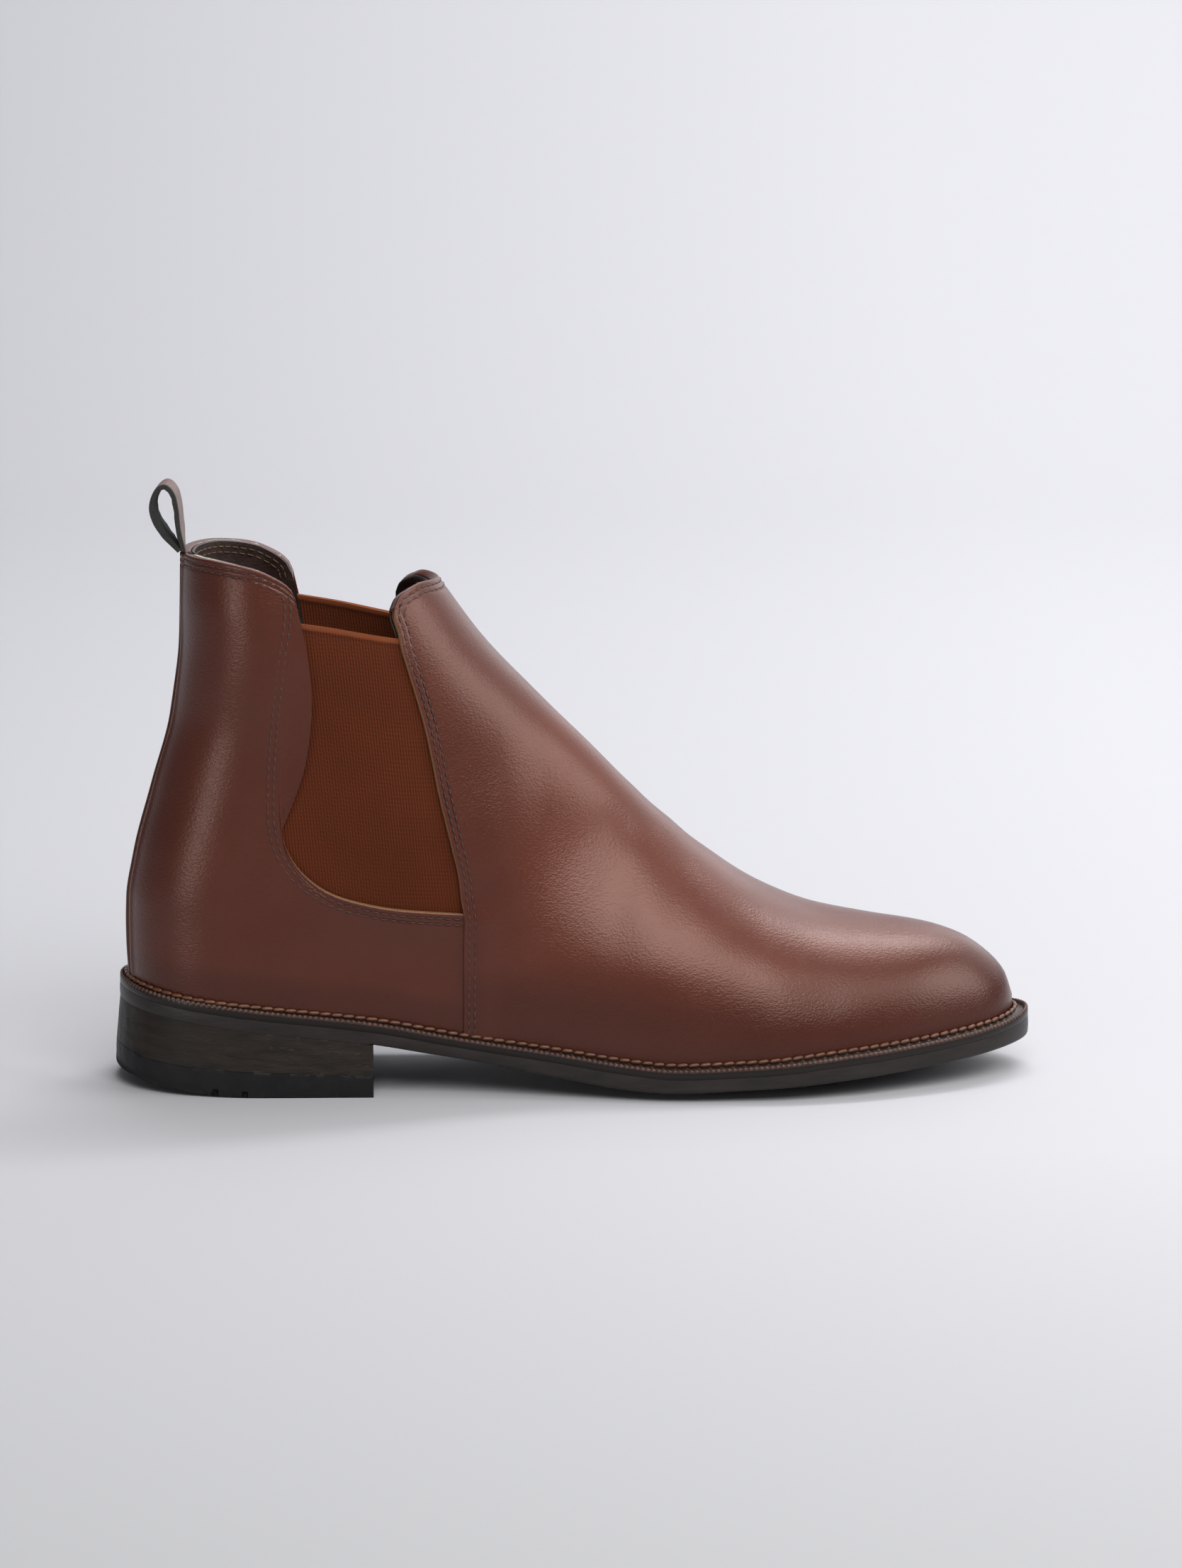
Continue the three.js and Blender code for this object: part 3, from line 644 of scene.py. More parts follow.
sock_leather = plain("sock_leather", (0.035, 0.0182, 0.014), 0.5, 0.3, 80, 0.3, 700)
foam_soft = plain("foam", (0.385, 0.35, 0.294), 0.9)
cork_mix = plain("cork", (0.238, 0.133, 0.063), 0.9, 0.5, 700, 0.6, 1200)
steel = plain("steel", (0.5, 0.5, 0.52), 0.35, 0.1, 200, 0.1, 900, metal=1.0)
fibre_board = plain("stiffener", (0.364, 0.294, 0.196), 0.9, 0.2, 300, 0.4, 1500)
woven_tape = plain("tape", (0.434, 0.406, 0.336), 0.9, 0.15, 500, 0.5, 2500)


# ---- vamp ----
def vamp_grid(step_s, step_t, near=NEAR):
    """(phi, v) of half a vamp on a grid, with each point's distance from the side and top edges."""
    t, height = param_at(lambda u: vamp_half(0.35, 1 - u), lambda total: stations(total, near, step_t))
    from_top = stations(height, near, step_t)
    longest = param_at(lambda u: vamp_half(u, 0.3), lambda total: total)[1]
    columns = len(stations(longest, near, step_s))
    rows, from_side = [], []
    for tj in t:
        s, total = param_at(lambda u: vamp_half(u, 1 - tj), lambda total: squeezed(total, near, columns))
        rows.append(vamp_half(s, 1 - tj))
        from_side.append(squeezed(total, near, columns))
    q = np.stack(rows, 1)
    return q, np.stack(from_side, 1), np.broadcast_to(from_top, q.shape[:2])


def both_sides(q, *extra, toe=True):
    """Grid of half a piece to a grid of both halves, joined at its last column."""
    if not toe:
        q, extra = q[::-1], [e[::-1] for e in extra]
    full = np.concatenate([q, mirror(q[-2::-1], toe)])
    if not toe:
        full[len(q) - 1:, :, 0] -= 2 * PI
        full[len(q) - 1, :, 0] = 0
    return [full] + [np.concatenate([e, e[-2::-1]]) for e in extra]


def lap_rise(q, from_side):
    z = on_face(q)[..., 2]
    return LAP_RISE * smooth((67 - z) / 9) * (1 - smooth((from_side - 5.5) / 8))


def creases(q):
    """Soft folds where the instep meets the vamp, and slight waves over the ball."""
    x, _, z = np.moveaxis(on_face(q), -1, 0)
    zone = np.exp(-(((x - 176) / 24) ** 2) - ((z - 70) / 30) ** 2)
    lines = 0.16 * np.sin((x - 0.35 * z) / 3.4 + 1.2 * np.sin(z / 9)) * zone
    return lines + 0.15 * ripple(x, z, 60, 5, 2) * smooth((z - 22) / 15)


def folded(back, et, fold):
    """Depth of the leather's back, doubled where its top line is turned in."""
    return np.maximum(back, lerp(back, 3.2 - edge_drop(et), fold))


def calf_values(shade, cut, seam):
    """Painted shade at each point (partly a burnish near the welt), the raw cut edge, and the seam's painted
    shade.
    """
    cut = both_faces(cut, np.clip(cut * 3, 0, 1))
    return {"shade": both_faces(shade), "cut": cut, "seam": both_faces(seam)}


def build_vamp():
    q, es, et = both_sides(*vamp_grid(2.0, 2.2))
    rise = lap_rise(q, es)
    drop = edge_drop(es) + edge_drop(et) + grooves(es) * (et > 3) + grooves(et) * (es > 3) * 0.9
    outer = below(q, drop - rise - creases(q))
    back = LEATHER - 0.25 * edge_drop(es) - rise
    inner = below(q, folded(back, et, 1 - smooth((et - 1.0) / 0.8)))
    x, _, z = np.moveaxis(on_face(q), -1, 0)
    # painted shade: darker low by the welt (partly a burnish), towards the rear and along the stitch rows
    low = 1 - 0.9 * smooth((z - feather(x) - 16) / 22)
    rows = np.minimum(1, 0.30 * (grooves(es, 1) * (et > 2) + grooves(et, 1) * (es > 2)))
    rear = 0.6 * (1 - smooth((x - 118) / 34))
    shade = np.clip(np.maximum(low, rear) + rows * 0.6, 0, 1)
    cut = (1 - smooth((es - 0.05) / 0.35)) * smooth((z - 60) / 4) * smooth((162 - z) / 6)
    make("vamp_leather", *shell(outer, inner), calf, "vamp", "upper_leather", bend=True,
         values=calf_values(shade, cut, np.zeros(cut.shape)))


def quarter_grid(step, near=NEAR, back_near=BACK_NEAR):
    """(phi, v) of a quarter on a grid, with each point's distance from the top edge."""
    s, _ = param_at(lambda u: quarter_half(u, 0.75), lambda total: stations(total, back_near, step))
    longest = param_at(lambda u: quarter_half(0.1, u), lambda total: total)[1]
    rows = len(stations(longest, near, step))
    columns, from_top = [], []
    for si in s:
        t, total = param_at(lambda u: quarter_half(si, 1 - u), lambda total: squeezed(total, near, rows))
        columns.append(quarter_half(si, 1 - t))
        from_top.append(squeezed(total, near, rows))
    return np.stack(columns), np.stack(from_top)


def seam_lips(p):
    """The back seam: leather turns in on both sides of a narrow furrow."""
    d = np.abs(p[..., 1] - seam_y(p[..., 2]))
    lip = 0.55 * np.exp(-(((d - 2.1) / 1.3) ** 2))
    furrow = 1.5 * np.exp(-((d / 0.75) ** 2))
    back = p[..., 0] < 45
    # the second value is the share of painted shade along the furrow
    return np.where(back, lip - furrow, 0), np.where(back, np.exp(-((d / 0.95) ** 2)), 0)


def build_quarter(side):
    """The seam sits off the middle, so the medial quarter reaches a little round to the lateral side."""
    q, et = quarter_grid(2.2)
    if side == "medial":
        q = mirror(q)
    reach = np.abs(on_face(q)[..., 1])
    angles = np.linspace(0, 0.9, 60)
    seam = face(angles[:, None], q[0, :, 1][None, :])
    at_seam = [np.interp(-seam_y(seam[0, j, 2]), -seam[:, j, 1], angles) for j in range(seam.shape[1])]
    q[..., 0] += (1 - smooth(reach / 26)) * np.array(at_seam) - (2 * PI if side == "medial" else 0)
    p = on_face(q)
    # furrow: the share of painted shade along the back seam's furrow
    lips, furrow = seam_lips(p)
    x, z = p[..., 0], p[..., 2]
    wave = 0.22 * ripple(x * 0.7, z, 55, 11 if side == "lateral" else 12, 2)
    outer = below(q, edge_drop(et) + grooves(et) - lips - wave * smooth(et / 20))
    on_collar = smooth((z - 158) / 5)
    fold = (1 - smooth((et - 1.0) / 0.8)) * on_collar
    back = LEATHER - 0.25 * edge_drop(et)
    inner = below(q, folded(back, et, fold) - 0.4 * np.minimum(lips, 0))
    # painted shade: the whole quarter darker, more by the welt (partly a burnish) and in the stitch rows
    low = 1 - smooth((z - feather(x) - 8) / 18)
    shade = np.clip(np.maximum(low, 0.62) + grooves(et), 0, 1)
    cut = (1 - smooth((et - 0.05) / 0.35)) * (1 - on_collar)
    make(f"quarter_{side}_leather", *shell(outer, inner), calf, f"quarter_{side}", "upper_leather",
         values=calf_values(shade, cut, furrow))


def wrinkled(q, seed):
    p = on_face(q)
    around = np.arctan2(p[..., 1], p[..., 0] - 60) * 45
    return 0.22 * ripple(around, p[..., 2], 11, seed, 3)


def build_linings():
    near = [0, 0.3, 0.7, 1.4, 2.2, 3.1, 4.2, 5.5]
    vamp, from_side, from_top = both_sides(*vamp_grid(3.5, 3.5, near))
    quarter, from_collar = both_sides(*quarter_grid(3.0, near, [0, 1, 2, 3.2]), toe=False)
    for name, q, e, seed in (("vamp_lining", vamp, np.minimum(from_side, from_top), 21),
                             ("quarter_lining", quarter, from_collar, 22)):
        outer = below(q, LINING[0] + edge_drop(e, 0.4) * 0.5)
        inner = below(q, LINING[1] - edge_drop(e, 0.45) + wrinkled(q, seed) * smooth(e / 6))
        make(f"{name}_leather", *shell(outer, inner), lining_leather, name, "lining_leather",
             bend=name == "vamp_lining")


def build_gore(side):
    columns, rows = 300, 140
    t, height = param_at(lambda u: gore_half(0.5, u), lambda total: np.linspace(0, total, rows))
    top_dist = height - np.linspace(0, height, rows)
    q = gore_half(np.linspace(0, 1, columns)[:, None], t[None, :])
    if side == "medial":
        q = mirror(q)
    p = on_face(q)
    across = p[..., 0] + 0.10 * (p[..., 2] - 100)     # the ribs lean with the gore's front edge
    rib = np.cos(2 * PI * across / 0.95)
    weft = np.cos(2 * PI * p[..., 2] / 1.3)
    cord = smooth((2.1 - top_dist) / 0.5)[None, :]    # woven top edge, thicker than the rest
    lift = (0.10 * rib + 0.06 * weft) * (1 - cord) + 0.38 * cord
    outer = below(q, MIDDLE[0] - lift)
    inner = below(q, MIDDLE[1] + lift)
    # painted shade: darker in the ribs' valleys and in a band just under the cord
    weave_shade = np.clip(0.5 - rib * 0.32 - weft * 0.18, 0, 1) * 0.95 * (1 - cord)
    step = smooth((2.9 - top_dist) / 0.4) * (1 - smooth((2.3 - top_dist) / 0.2))
    weave_shade = np.clip(weave_shade + 0.8 * step[None, :], 0, 1)
    # painted highlight on the raised top cord
    cord_highlight = np.broadcast_to(cord * 0.7, weave_shade.shape)
    make(f"gore_{side}_elastic", *shell(outer, inner), elastic, f"gore_{side}", "elastic", sharp=80,
         values={"weave_shade": both_faces(weave_shade), "cord_highlight": both_faces(cord_highlight)})


# ---- stitching ----
def inset(line, d, first=0.0, last=1.0, n=900, steps=3):
    """The line's stretch from first to last, moved d mm over the surface to its right seen from outside."""
    q = start = line(lerp(first, last, np.linspace(0, 1, n)))
    for _ in range(steps):
        p, du, dv, nn = frame_at(q[:, 0], q[:, 1])
        tan = unit(np.gradient(p, axis=0))
        move = np.cross(tan, nn) * (d / steps)
        a, b, c = (du * du).sum(1), (du * dv).sum(1), (dv * dv).sum(1)
        r, s = (du * move).sum(1), (dv * move).sum(1)
        det = a * c - b * b
        q = q + np.stack([(r * c - s * b) / det, (a * s - b * r) / det], -1)
    # tight corners fold the moved line over itself: drop what came too near the first line
    edge_pts, moved = on_face(start), on_face(q)
    near = np.array([np.linalg.norm(edge_pts - m, axis=1).min() for m in moved])
    return q[near > 0.93 * d]


def circles(centres, across, up, radius, sides):
    """Points round each centre."""
    a = np.arange(sides) / sides * 2 * PI
    spokes = across[..., None, :] * np.cos(a)[:, None] + up[..., None, :] * np.sin(a)[:, None]
    return centres[..., None, :] + radius * spokes


def capsules(centres, across, up, radius, sides=7):
    """Closed tubes along centres (k, m, 3); across and up are (k, m, 3) unit vectors; radius (m,)."""
    k, m = centres.shape[:2]
    pts = circles(centres, across, up, np.asarray(radius, float)[:, None, None], sides)
    i = np.arange(m - 1)[:, None] * sides
    j = np.arange(sides)[None, :]
    j1 = (j + 1) % sides
    wall = np.stack([i + j, i + j1, i + sides + j1, i + sides + j], -1).reshape(-1, 4)
    a = np.arange(1, sides - 1)
    near_cap = np.stack([a, 0 * a, a + 1, a + 1], -1)
    far_cap = np.stack([a, a + 1, 0 * a, 0 * a], -1) + (m - 1) * sides
    return pts.reshape(-1, 3), copies(np.concatenate([wall, near_cap, far_cap]), k, m * sides)


def sew(paths, depths, radius=0.27, rise=0.20):
    """Stitches and needle holes along (phi, v) paths. depths: how far each lies below the outer face."""
    share = np.array([0.072, 0.12, 0.22, 0.4, 0.6, 0.78, 0.88, 0.928])
    height = np.array([-0.45, -0.18, 0.12, 0.2, 0.2, 0.12, -0.18, -0.45]) * rise / 0.2
    shape = np.array([0.6, 0.9, 1, 1, 1, 1, 0.9, 0.6]) * radius
    centres, across, ups, holes, hole_normals = [], [], [], [], []
    for q, depth in zip(paths, depths):
        deep = np.broadcast_to(depth, len(q))
        length = arcs(below(q, deep))

        def place(want):
            here = along(q, length, want)
            p, _, _, n = frame_at(here[:, 0], here[:, 1])
            return p - n * np.interp(want, length, deep)[:, None], n

        count = int(round(length[-1] / STITCH))
        marks = np.linspace(0, length[-1], count + 1)
        p, n = place((marks[:-1, None] + np.diff(marks)[:, None] * share).ravel())
        tan = unit(np.gradient(p, axis=0))
        p = p + n * np.tile(height, count)[:, None]
        for found, vectors in ((centres, p), (across, unit(np.cross(tan, n))), (ups, n)):
            found.append(vectors.reshape(count, len(share), 3))
        p, n = place(marks)
        holes.append(p)
        hole_normals.append(n)
    tubes = capsules(np.concatenate(centres), np.concatenate(across), np.concatenate(ups), shape)
    return tubes, np.concatenate(holes), np.concatenate(hole_normals)


def lens(centres, normals, radius, height, sides=8):
    """Small closed dimples just proud of the leather, drawn dark: painted shade of needle holes."""
    side = unit(np.cross(normals, np.array([0.3, 0.2, 0.9])))
    other = np.cross(normals, side)
    rim = circles(centres, side, other, radius, sides)
    ends = np.stack([centres + normals * height, centres - normals * 0.3], 1)
    pts = np.concatenate([rim, ends], 1)
    j = np.arange(sides)
    j1 = (j + 1) % sides
    up = np.stack([j, j1, j * 0 + sides, j * 0 + sides], -1)
    down = np.stack([j1, j, j * 0 + sides + 1, j * 0 + sides + 1], -1)
    return pts.reshape(-1, 3), copies(np.concatenate([up, down]), len(centres), sides + 2)


def joined(lines):
    """One line from several edges, each a function of 0..1, by length."""
    qs = np.concatenate([f(np.linspace(0, 1, 500)) for f in lines])
    apart = np.linalg.norm(np.diff(on_face(qs), axis=0), axis=1) > 1e-4
    return by_length(qs[np.r_[True, apart]])


def build_stitches():
    start = 7.0 / quarter_top.length
    stop = 1 - (UNDER + 0.4) / quarter_top.length
    vamp_line = joined([vamp_side, vamp_top])
    for side, medial in (("lateral", False), ("medial", True)):
        other = mirror if medial else lambda q, flap=False: q
        quarter_rows = [other(inset(quarter_top, r, start, stop)) for r in ROWS]
        rows = [inset(vamp_line, r, 0.012, 0.997) for r in ROWS]
        depth = [GROOVE - LAP_RISE * smooth((67 - on_face(q)[:, 2]) / 9) for q in rows]
        for name, paths, depths in ((f"quarter_{side}", quarter_rows, [GROOVE] * 2),
                                    (f"vamp_{side}", [other(q, True) for q in rows], depth)):
            tubes, holes, normals = sew(paths, depths)
            make(f"{name}_stitches", *tubes, thread_dark, slot="thread", sharp=60)
            # painted shade at each needle hole
            dimples = lens(holes, normals, 0.52, 0.06)
            make(f"{name}_needle_holes", *dimples, hole_shade, slot="thread", sharp=60)
        # inside the collar the same rows show as golden thread on the lining
        inside = [other(inset(quarter_top, r + 0.3, 0.02, 0.29)) for r in ROWS]
        inside += [other(inset(vamp_line, r + 0.3, 0.90, 0.995), True) for r in ROWS]
        tubes, _, _ = sew(inside, [LINING[1] + 0.02] * len(inside), 0.24, -0.2)
        make(f"lining_{side}_stitches", *tubes, thread_gold, slot="thread", sharp=60)


# ---- welt and bottom ----
def sole_loop(phi, grow=None):
    """Plan line of the sole, moved out by grow."""
    x = SOLE_LENGTH * (1 - np.cos(phi)) / 2
    p = np.stack([x, np.where(np.sin(phi) >= 0, -sole_lateral(x), sole_medial(x))], -1)
    if grow is None:
        return p
    e = 1e-3
    tan = unit(sole_loop(phi + e) - sole_loop(phi - e))
    return p + np.stack([tan[..., 1], -tan[..., 0]], -1) * grow


def build_welt():
    n = 2400
    fine = np.linspace(0, 2 * PI, 8001)
    length = arcs(sole_loop(fine))
    total = length[-1]
    run = np.arange(n) / n * total
    phi = np.interp(run, length, fine)
    beads = int(round(total / 1.78))
    tooth = 0.5 + 0.5 * np.cos(2 * PI * np.arange(n) / n * beads)

    def rim(ph):
        """Points of the sole's edge and of the upper next to them, and the welt's width between."""
        out = sole_loop(ph)
        inner = skin(ph, np.full(len(ph), 0.006), -0.25)[:, :2]
        return out, inner, np.linalg.norm(inner - out, axis=1)

    out, inner, width = rim(phi)
    tight = np.minimum(1, width / 3.6)

    def row(d, z):
        p = lerp(out, inner, (d / width)[:, None])
        return np.c_[p, bead(p[:, 0]) + z]

    rows = [row(tight * 0.1, -2.98), row(0, -2.9), row(0, -1.6), row(0.02, -0.95)]
    radius = 0.34 + 0.34 * tooth
    for a in (-10, 20, 50, 80, 110, 140, 165):
        c, s = math.cos(math.radians(a)), math.sin(math.radians(a))
        rows.append(row(tight * (0.74 - radius * c), -0.36 + radius * s))
    rows += [row(tight * 1.55, -0.85), row(tight * 1.8, -0.72), row(width - tight * 1.7, -0.55),
             row(width - tight * 1.3, -0.25), row(width - 0.75, 0.1), row(width, 0.7), row(width, -2.7)]
    grid = np.stack(rows, 1)
    ink_and_shade = np.zeros(grid.shape[:2])
    # real edge ink on the outer side and bottom
    ink_and_shade[:, :4] = 1
    # painted shade in the gaps between the beads
    ink_and_shade[:, 4:11] = 0.85 * (1 - tooth[:, None]) ** 1.3
    # painted shade in the groove by the rope and under it; two rows striped at the bead spacing
    ink_and_shade[:, 11:] = 0.9
    ink_and_shade[:, 12:14] = 0.45 + 0.5 * tooth[:, None]
    make("storm_welt_leather", grid.reshape(-1, 3), ring_faces(n, len(rows)), welt_leather, "storm_welt",
         "welt_leather", bend=True, sharp=60, values={"ink_and_shade": ink_and_shade})
    # rope: long slanting stitches, each tucked under the next, in the corner between welt and upper
    count = int(round(total / 3.9))
    mid = np.arange(count) / count * total
    m = 11
    u = np.linspace(-0.50, 0.50, m)
    pos = (mid[:, None] + u * total / count).ravel() % total
    ph = np.interp(pos, np.r_[run, total], np.r_[phi, 2 * PI])
    out, inner, width = rim(ph)
    step = np.tile(np.linspace(0, 1, m), count)
    d = width - np.minimum(1, width / 3.6) * lerp(0.84, 0.56, step)
    c = row(d, lerp(0.56, 0.88, step)).reshape(count, m, 3)
    tan = unit(np.gradient(c, axis=1))
    up = unit(np.array([0, 0, 1.0]) - tan * tan[..., 2:3])
    fat = np.array([0.20, 0.54, 0.70, 0.74, 0.76, 0.76, 0.76, 0.74, 0.70, 0.54, 0.20])
    pts, faces = capsules(c, unit(np.cross(tan, up)), up, fat, 9)
    make("welt_rope_stitch", pts, faces, rope_thread, "welt_stitch", "thread", bend=True, sharp=70)


def sleeve(loops):
    """Solid from closed loops of points, each joined to the next. The first and last are closed up."""
    loops = np.stack(loops)
    k, n = loops.shape[:2]
    j = np.arange(n)
    j1 = (j + 1) % n
    faces = [np.stack([i * n + j, i * n + j1, (i + 1) * n + j1, (i + 1) * n + j], -1) for i in range(k - 1)]
    return loops.reshape(-1, 3), np.concatenate(faces)


def build_outsole():
    phi = np.linspace(0, 2 * PI, 720, endpoint=False)

    def level(grow, share=1.0, top=False, dz=0.0):
        p = sole_loop(phi, grow)
        y = p[:, 1] * share
        x = np.clip(p[:, 0], 0.02, SOLE_LENGTH - 0.02)
        half = np.maximum(1, np.where(y < 0, sole_lateral(x), sole_medial(x)))
        across = np.clip(np.abs(y) / half, 0, 1)
        under = np.maximum(0, sole_edge_z(x) - crown(x) * (1 - across**2))
        return np.c_[p[:, 0], y, (bead(x) - 3.0 if top else under) + dz]

    over_heel = (sole_loop(phi)[:, 0] < BREAST_X - 1)[:, None]
    top = level(0.0, 1, True, -0.08)
    bottom = np.where(over_heel, level(0.0, dz=0.03), level(0.0, dz=0.55))
    loops = [level(-0.4, share, True) for share in (0, 0.35, 0.7, 0.9)] + [level(-0.1, 1, True), top]
    for w in np.linspace(0.1, 0.9, 8):
        p = lerp(top, bottom, w)
        p[:, :2] = sole_loop(phi, 0.12 * math.sin(PI * w))
        loops.append(p)
    loops += [bottom, np.where(over_heel, level(-0.05), level(-0.35, dz=0.10)), level(-0.8)]
    # channel: the sole's stitching lies in a closed cut near the edge
    loops += [level(-4.6), level(-4.9, dz=0.25)]
    loops += [level(-5.2, share) for share in (1, 0.8, 0.6, 0.4, 0.2, 0)]
    make("outsole_leather", *sleeve(loops), sole_leather, "outsole", "sole_leather", bend=True, sharp=40)


HEEL_CENTRE = np.array([44.0, 0.0])
HEEL_POINTS = 520


def heel_loop(level, inset_mm=0.0):
    """Closed plan line of the heel at a level (0 bottom, 1 top), with a flat breast."""
    grow = 1.6 * (1 - level)
    end = math.acos(1 - 2 * BREAST_X / SOLE_LENGTH)
    p = sole_loop(np.linspace(-end, end, 1600))
    flare = np.c_[np.where(p[:, 0] < BREAST_X - 1, -grow * np.maximum(0, 1 - p[:, 0] / 40), 0),
                  np.sign(p[:, 1]) * grow * np.minimum(1, np.abs(p[:, 1]) / 12)]
    p = p + flare
    w = np.linspace(0, 1, 60)[1:-1, None]
    breast = lerp(p[-1], p[0], w) - np.array([1.0, 0]) * (0.9 * np.sin(PI * w))
    closed = np.concatenate([p, breast, p[:1]])
    length = arcs(closed)
    p = along(closed, length, np.arange(HEEL_POINTS) / HEEL_POINTS * length[-1])
    return p + unit(HEEL_CENTRE - p) * inset_mm


def heel_piece(name, slot, finish, mat, levels, heights, bulge, bevel, detail=None):
    """levels: low and high; heights: z of the bottom and of the top, as functions of x."""
    (low, high), (z_low, z_high) = levels, heights

    def flat(share, z_of, level, inset_mm):
        p = HEEL_CENTRE + (heel_loop(level, inset_mm) - HEEL_CENTRE) * share
        return np.c_[p, z_of(p[:, 0])]

    loops = [flat(share, z_high, high, 0.5) for share in (0, 0.5, 0.9)] + [flat(1, z_high, high, bevel)]
    for w in np.linspace(0, 1, 9):
        p = heel_loop(lerp(high, low, w))
        around = np.arange(HEEL_POINTS) * 0.35
        rough = 0.06 * ripple(around, lerp(z_high(44.0), z_low(44.0), w) * 0.8, 9, 31, 3)
        p = p + unit(p - HEEL_CENTRE) * (bulge * math.sin(PI * w) + rough)[:, None]
        q = np.c_[p, lerp(z_high(p[:, 0]) - bevel, z_low(p[:, 0]) + bevel, w)]
        loops.append(detail(q, w) if detail else q)
    loops += [flat(1, z_low, low, bevel)] + [flat(share, z_low, low, 0.5) for share in (0.9, 0.5, 0)]
    make(f"{name}_{finish}", *sleeve(loops), mat, name, slot, sharp=40)


def top_lift_detail(q, w):
    """Fine teeth round the lower rear edge, and two short nicks in the lateral side."""
    out = unit(q[:, :2] - HEEL_CENTRE)
    every_other = np.arange(HEEL_POINTS) % 2
    teeth = 0.28 * every_other * smooth((w - 0.7) / 0.12) * (1 - smooth((q[:, 0] - 26) / 4))
    q[:, :2] -= out * teeth[:, None]
    for nick in (31.0, 41.0):
        d = (np.abs(q[:, 0] - nick - 1.2 * (1 - w)) < 0.8) * (q[:, 1] < 0) * (w > 0.8)
        q[:, :2] -= out * (1.1 * d)[:, None]
    return q


def build_heel():
    def lift_z(level):
        return lambda x: lerp(lift_top_z(x) + 0.02, sole_edge_z(x) - 0.02, level)

    lifts = 3
    for i in range(lifts):
        low, high = i / lifts, (i + 1) / lifts
        heel_piece(f"heel_lift_{i + 1}", "stack_leather", "leather", stack_leather,
                   (low * 0.8 + 0.2, high * 0.8 + 0.2), (lift_z(low), lift_z(high)), 0.0, 0.012)
    heel_piece("heel_top_lift", "lift_rubber", "rubber", lift_rubber, (0.0, 0.15),
               (lift_bottom_z, lambda x: lift_top_z(x) - 0.05), 0.06, 0.10, top_lift_detail)


# ---- pull tab ----
def build_tab():
    line = [(22.7, 177.6), (22.2, 182), (21.6, 187), (21.1, 192.3), (19.9, 196.8), (17.5, 199.3),
            (15.0, 198.2), (13.3, 195), (12.8, 191.2), (14.1, 187), (17.0, 182.5), (21.2, 177.6)]
    c = spline(line, 240)
    length = arcs(c)
    s = np.linspace(0, length[-1], 110)
    c = along(c, length, s)
    t = unit(np.gradient(c, axis=0))
    n = np.c_[-t[:, 1], t[:, 0]]
    half = 6.9
    y = np.linspace(-half, half, 25)
    share = s / length[-1]
    twist = 0.10 * smooth(share / 0.15) * smooth((1 - share) / 0.15)
    rough = 0.10 * ripple(s[:, None], y[None, :], 5, 51, 3)
    round_edge = 0.18 * smooth((np.abs(y) - half + 0.8) / 0.8)

    def face_of(side):
        thick, relief = (0.7, 0.2) if side > 0 else (1.05, 1.0)
        off = rough * relief - side * (thick - round_edge[None, :])
        x = c[:, 0:1] + n[:, 0:1] * off + twist[:, None] * y[None, :]
        z = c[:, 1:2] + n[:, 1:2] * off
        return np.stack([x, np.broadcast_to(y, x.shape) * (1 - 0.02 * np.abs(twist[:, None])), z], -1)

    inked = np.broadcast_to(smooth((np.abs(y) - half + 0.7) / 0.35), (len(s), len(y)))
    make("pull_tab_strap", *shell(face_of(1.0), face_of(-1.0)), tab_leather, "pull_tab_loop", "tab_leather",
         body="pull_tab", values={"suede": both_faces(inked, np.ones(inked.shape))})


# ---- inside: pieces left unattached, meant to bend with the sole ----
def build_sock_liner():
    """Runs from heel to toe between the linings, and steps up onto the heel pad."""
    phi = np.linspace(0, PI, 120)
    a, b = skin(phi, np.full(120, 0.02), 5.3), skin(2 * PI - phi, np.full(120, 0.02), 5.3)
    across = np.linspace(0, 1, 15)[None, :, None]
    p = lerp(a[:, None], b[:, None], across)
    base = bead(p[..., 0]) + 2.4 * (1 - smooth((p[..., 0] - 78) / 14))
    top, low = p.copy(), p.copy()
    top[..., 2] = base + 3.15 + 0.35 * np.sin(PI * across[..., 0]) ** 0.5
    low[..., 2] = base + 2.5
    make("sock_liner_leather", *shell(top, low), sock_leather, "sock_liner", "lining_leather", bend=True)


def finish(ob, mat):
    ob.data.materials.clear()
    ob.data.materials.append(mat)


def copy_cad(node, name, mat):
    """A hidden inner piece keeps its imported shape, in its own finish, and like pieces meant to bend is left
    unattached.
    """
    ob = linked(name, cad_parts[node].data.copy())
    finish(ob, mat)
    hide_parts(node)
    follow(ob, "boot", True)


def build_inside():
    build_sock_liner()
    copy_cad("insole", "insole_board", insole_leather)
    copy_cad("cork_filler", "cork_layer", cork_mix)
    for node, mat in (("heel_pad", foam_soft), ("shank", steel), ("toe_puff", fibre_board),
                      ("heel_counter", fibre_board), ("topline_tape_lateral", woven_tape),
                      ("topline_tape_medial", woven_tape), ("pull_tab_tail", tab_dark),
                      *[(f"heel_nail_{i}", steel) for i in range(1, 6)]):
        finish(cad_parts[node], mat)


build_vamp()
for side in ("lateral", "medial"):
    build_quarter(side)
    build_gore(side)
build_linings()
build_stitches()
build_welt()
build_outsole()
build_heel()
build_tab()
build_inside()


# ---- floor, light and camera ----
def aimed(name, data, where, target):
    """A lamp or camera that looks at its target."""
    ob = linked(name, data)
    ob.location = where
    ob.rotation_mode = "QUATERNION"
    ob.rotation_quaternion = (Vector(target) - Vector(where)).to_track_quat("-Z", "Y")
    return ob


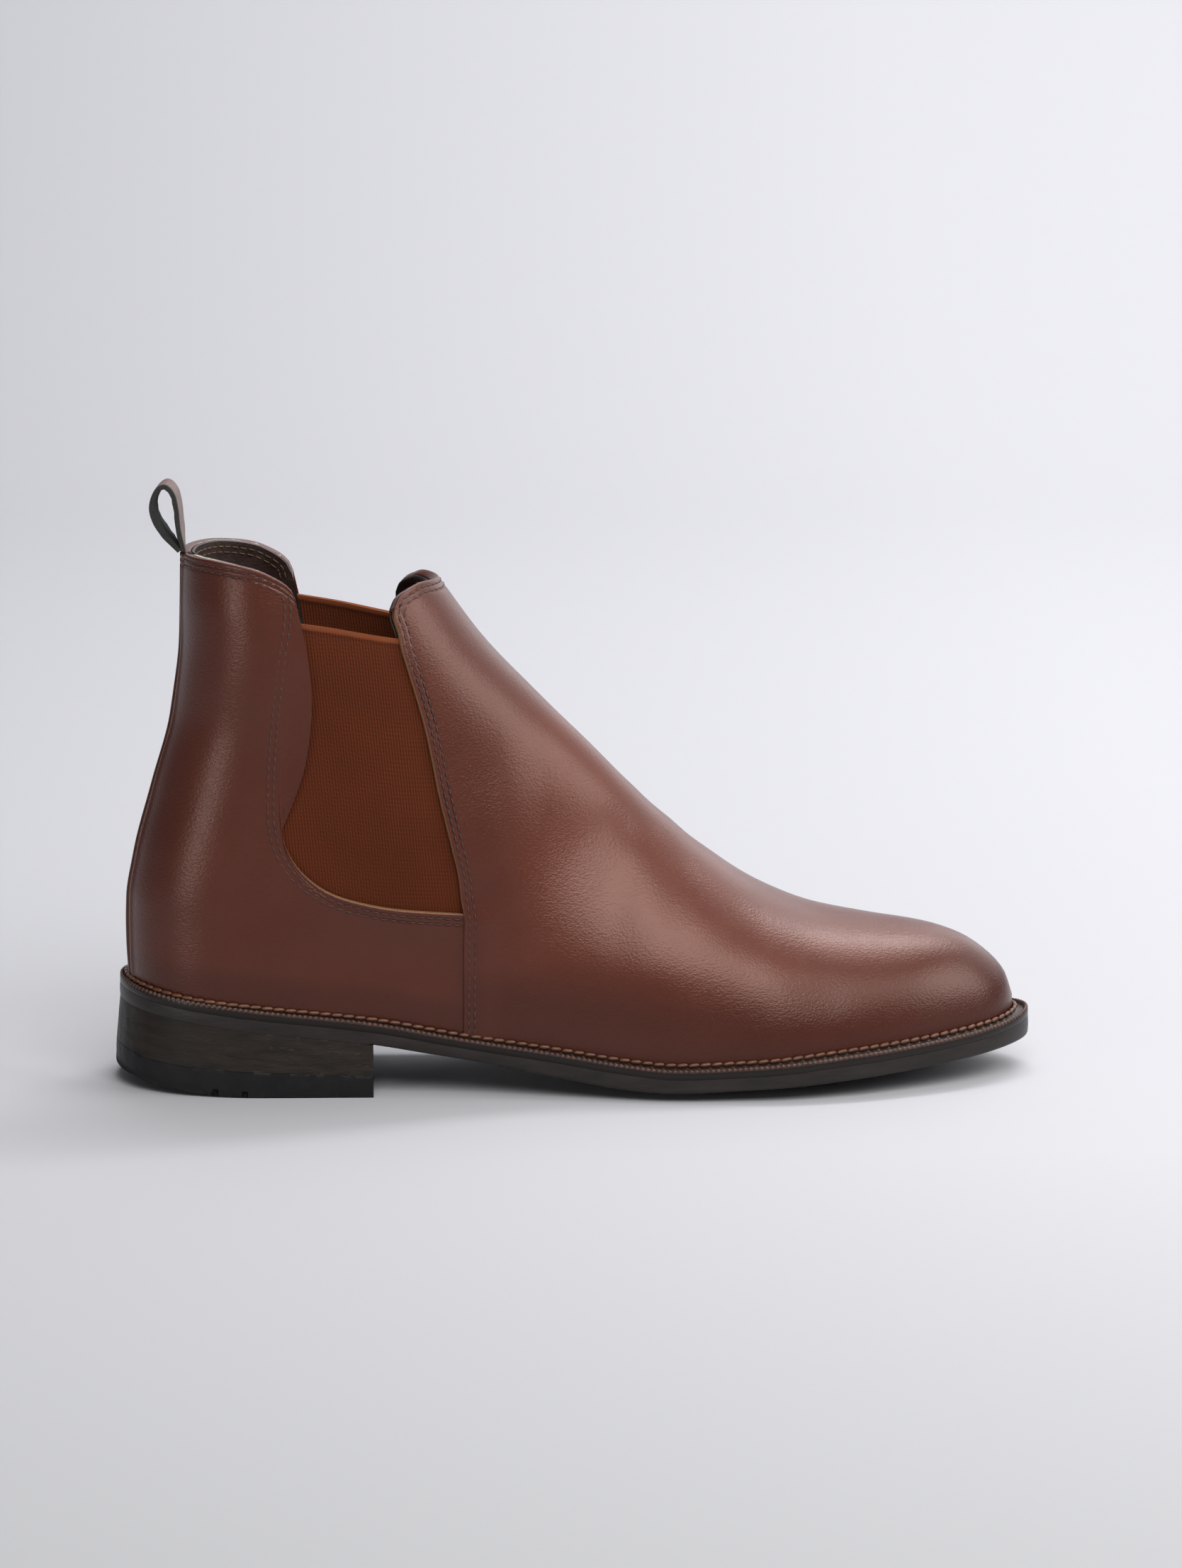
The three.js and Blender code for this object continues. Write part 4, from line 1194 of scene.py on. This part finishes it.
def studio():
    paper = Look("paper")
    # painted shade: a little darker to the left and towards the camera, where less light falls
    split = paper.tree.nodes.new("ShaderNodeSeparateXYZ")
    paper.join(paper.place, split.inputs[0])
    left = paper.between(split.outputs[0], 0.42, 0.0, -0.25, 0.35)
    near = paper.between(split.outputs[1], 0.50, 0.0, -0.62, -0.12)
    tone = paper.mix(left, (0.475, 0.472, 0.490), (0.285, 0.285, 0.296))
    paper.set(Base_Color=paper.mix(near, tone, (0.255, 0.255, 0.256)), Roughness=0.75, Specular_IOR_Level=0.2)
    # floor that sweeps up into a backdrop
    turn = np.linspace(0, PI / 2, 24)[1:]
    run = np.r_[np.linspace(-2.7, 1.2, 30), 1.2 + 0.9 * np.sin(turn), np.full(8, 2.1)]
    rise = np.r_[np.zeros(30), 0.9 * (1 - np.cos(turn)), np.linspace(1.0, 3.5, 8)]
    x = np.linspace(-3.5, 3.5, 12)[:, None]
    pts = np.stack(np.broadcast_arrays(x, run, rise), -1)
    mesh = bpy.data.meshes.new("floor")
    mesh.from_pydata(pts.reshape(-1, 3).tolist(), [], grid_faces(len(x), len(run)).tolist())
    mesh.polygons.foreach_set("use_smooth", np.ones(len(mesh.polygons), bool))
    mesh.materials.append(paper.material)
    linked("floor", mesh)

    world = bpy.data.worlds.new("studio")
    bpy.context.scene.world = world
    world.use_nodes = True
    background = world.node_tree.nodes["Background"].inputs
    background["Color"].default_value = (0.93, 0.94, 1.0, 1)
    background["Strength"].default_value = 0.08

    def lamp(name, where, target, size, power, colour=(1, 1, 1)):
        data = bpy.data.lights.new(name, "AREA")
        data.shape = "RECTANGLE"
        data.size, data.size_y = size
        data.energy = power
        data.color = colour
        aimed(name, data, where, target)

    lamp("front", (0.38, -1.38, 1.42), (0.09, 0, 0.05), (1.5, 1.2), 23)
    lamp("right", (1.62, -0.45, 0.95), (0.09, 0, 0.08), (1.0, 1.0), 10)
    lamp("back_right", (1.25, 1.05, 1.0), (0.09, 0, 0.06), (1.7, 1.4), 5.5, (0.98, 0.985, 1.0))
    lamp("top", (0.35, 0.45, 1.7), (0.09, 0, 0.05), (1.4, 1.0), 9, (0.97, 0.98, 1.0))
    lamp("left_card", (-1.25, -1.3, 0.24), (-0.03, 0, 0.07), (0.6, 0.3), 3.0)
    lamp("paper", (0.7, 0.9, 2.0), (0.3, 2.0, 0.5), (1.6, 0.5), 24, (0.97, 0.98, 1.0))

    cam_data = bpy.data.cameras.new("camera")
    cam_data.lens = 165.65
    cam_data.sensor_width = 36
    cam_data.clip_end = 50
    camera = aimed("camera", cam_data, (-0.02812, -2.35268, 0.55509), (0.09518, 0, 0.09715))
    bpy.context.scene.camera = camera
    bpy.context.scene.view_settings.view_transform = "Standard"
    bpy.context.scene.view_settings.exposure = 0.62


studio()
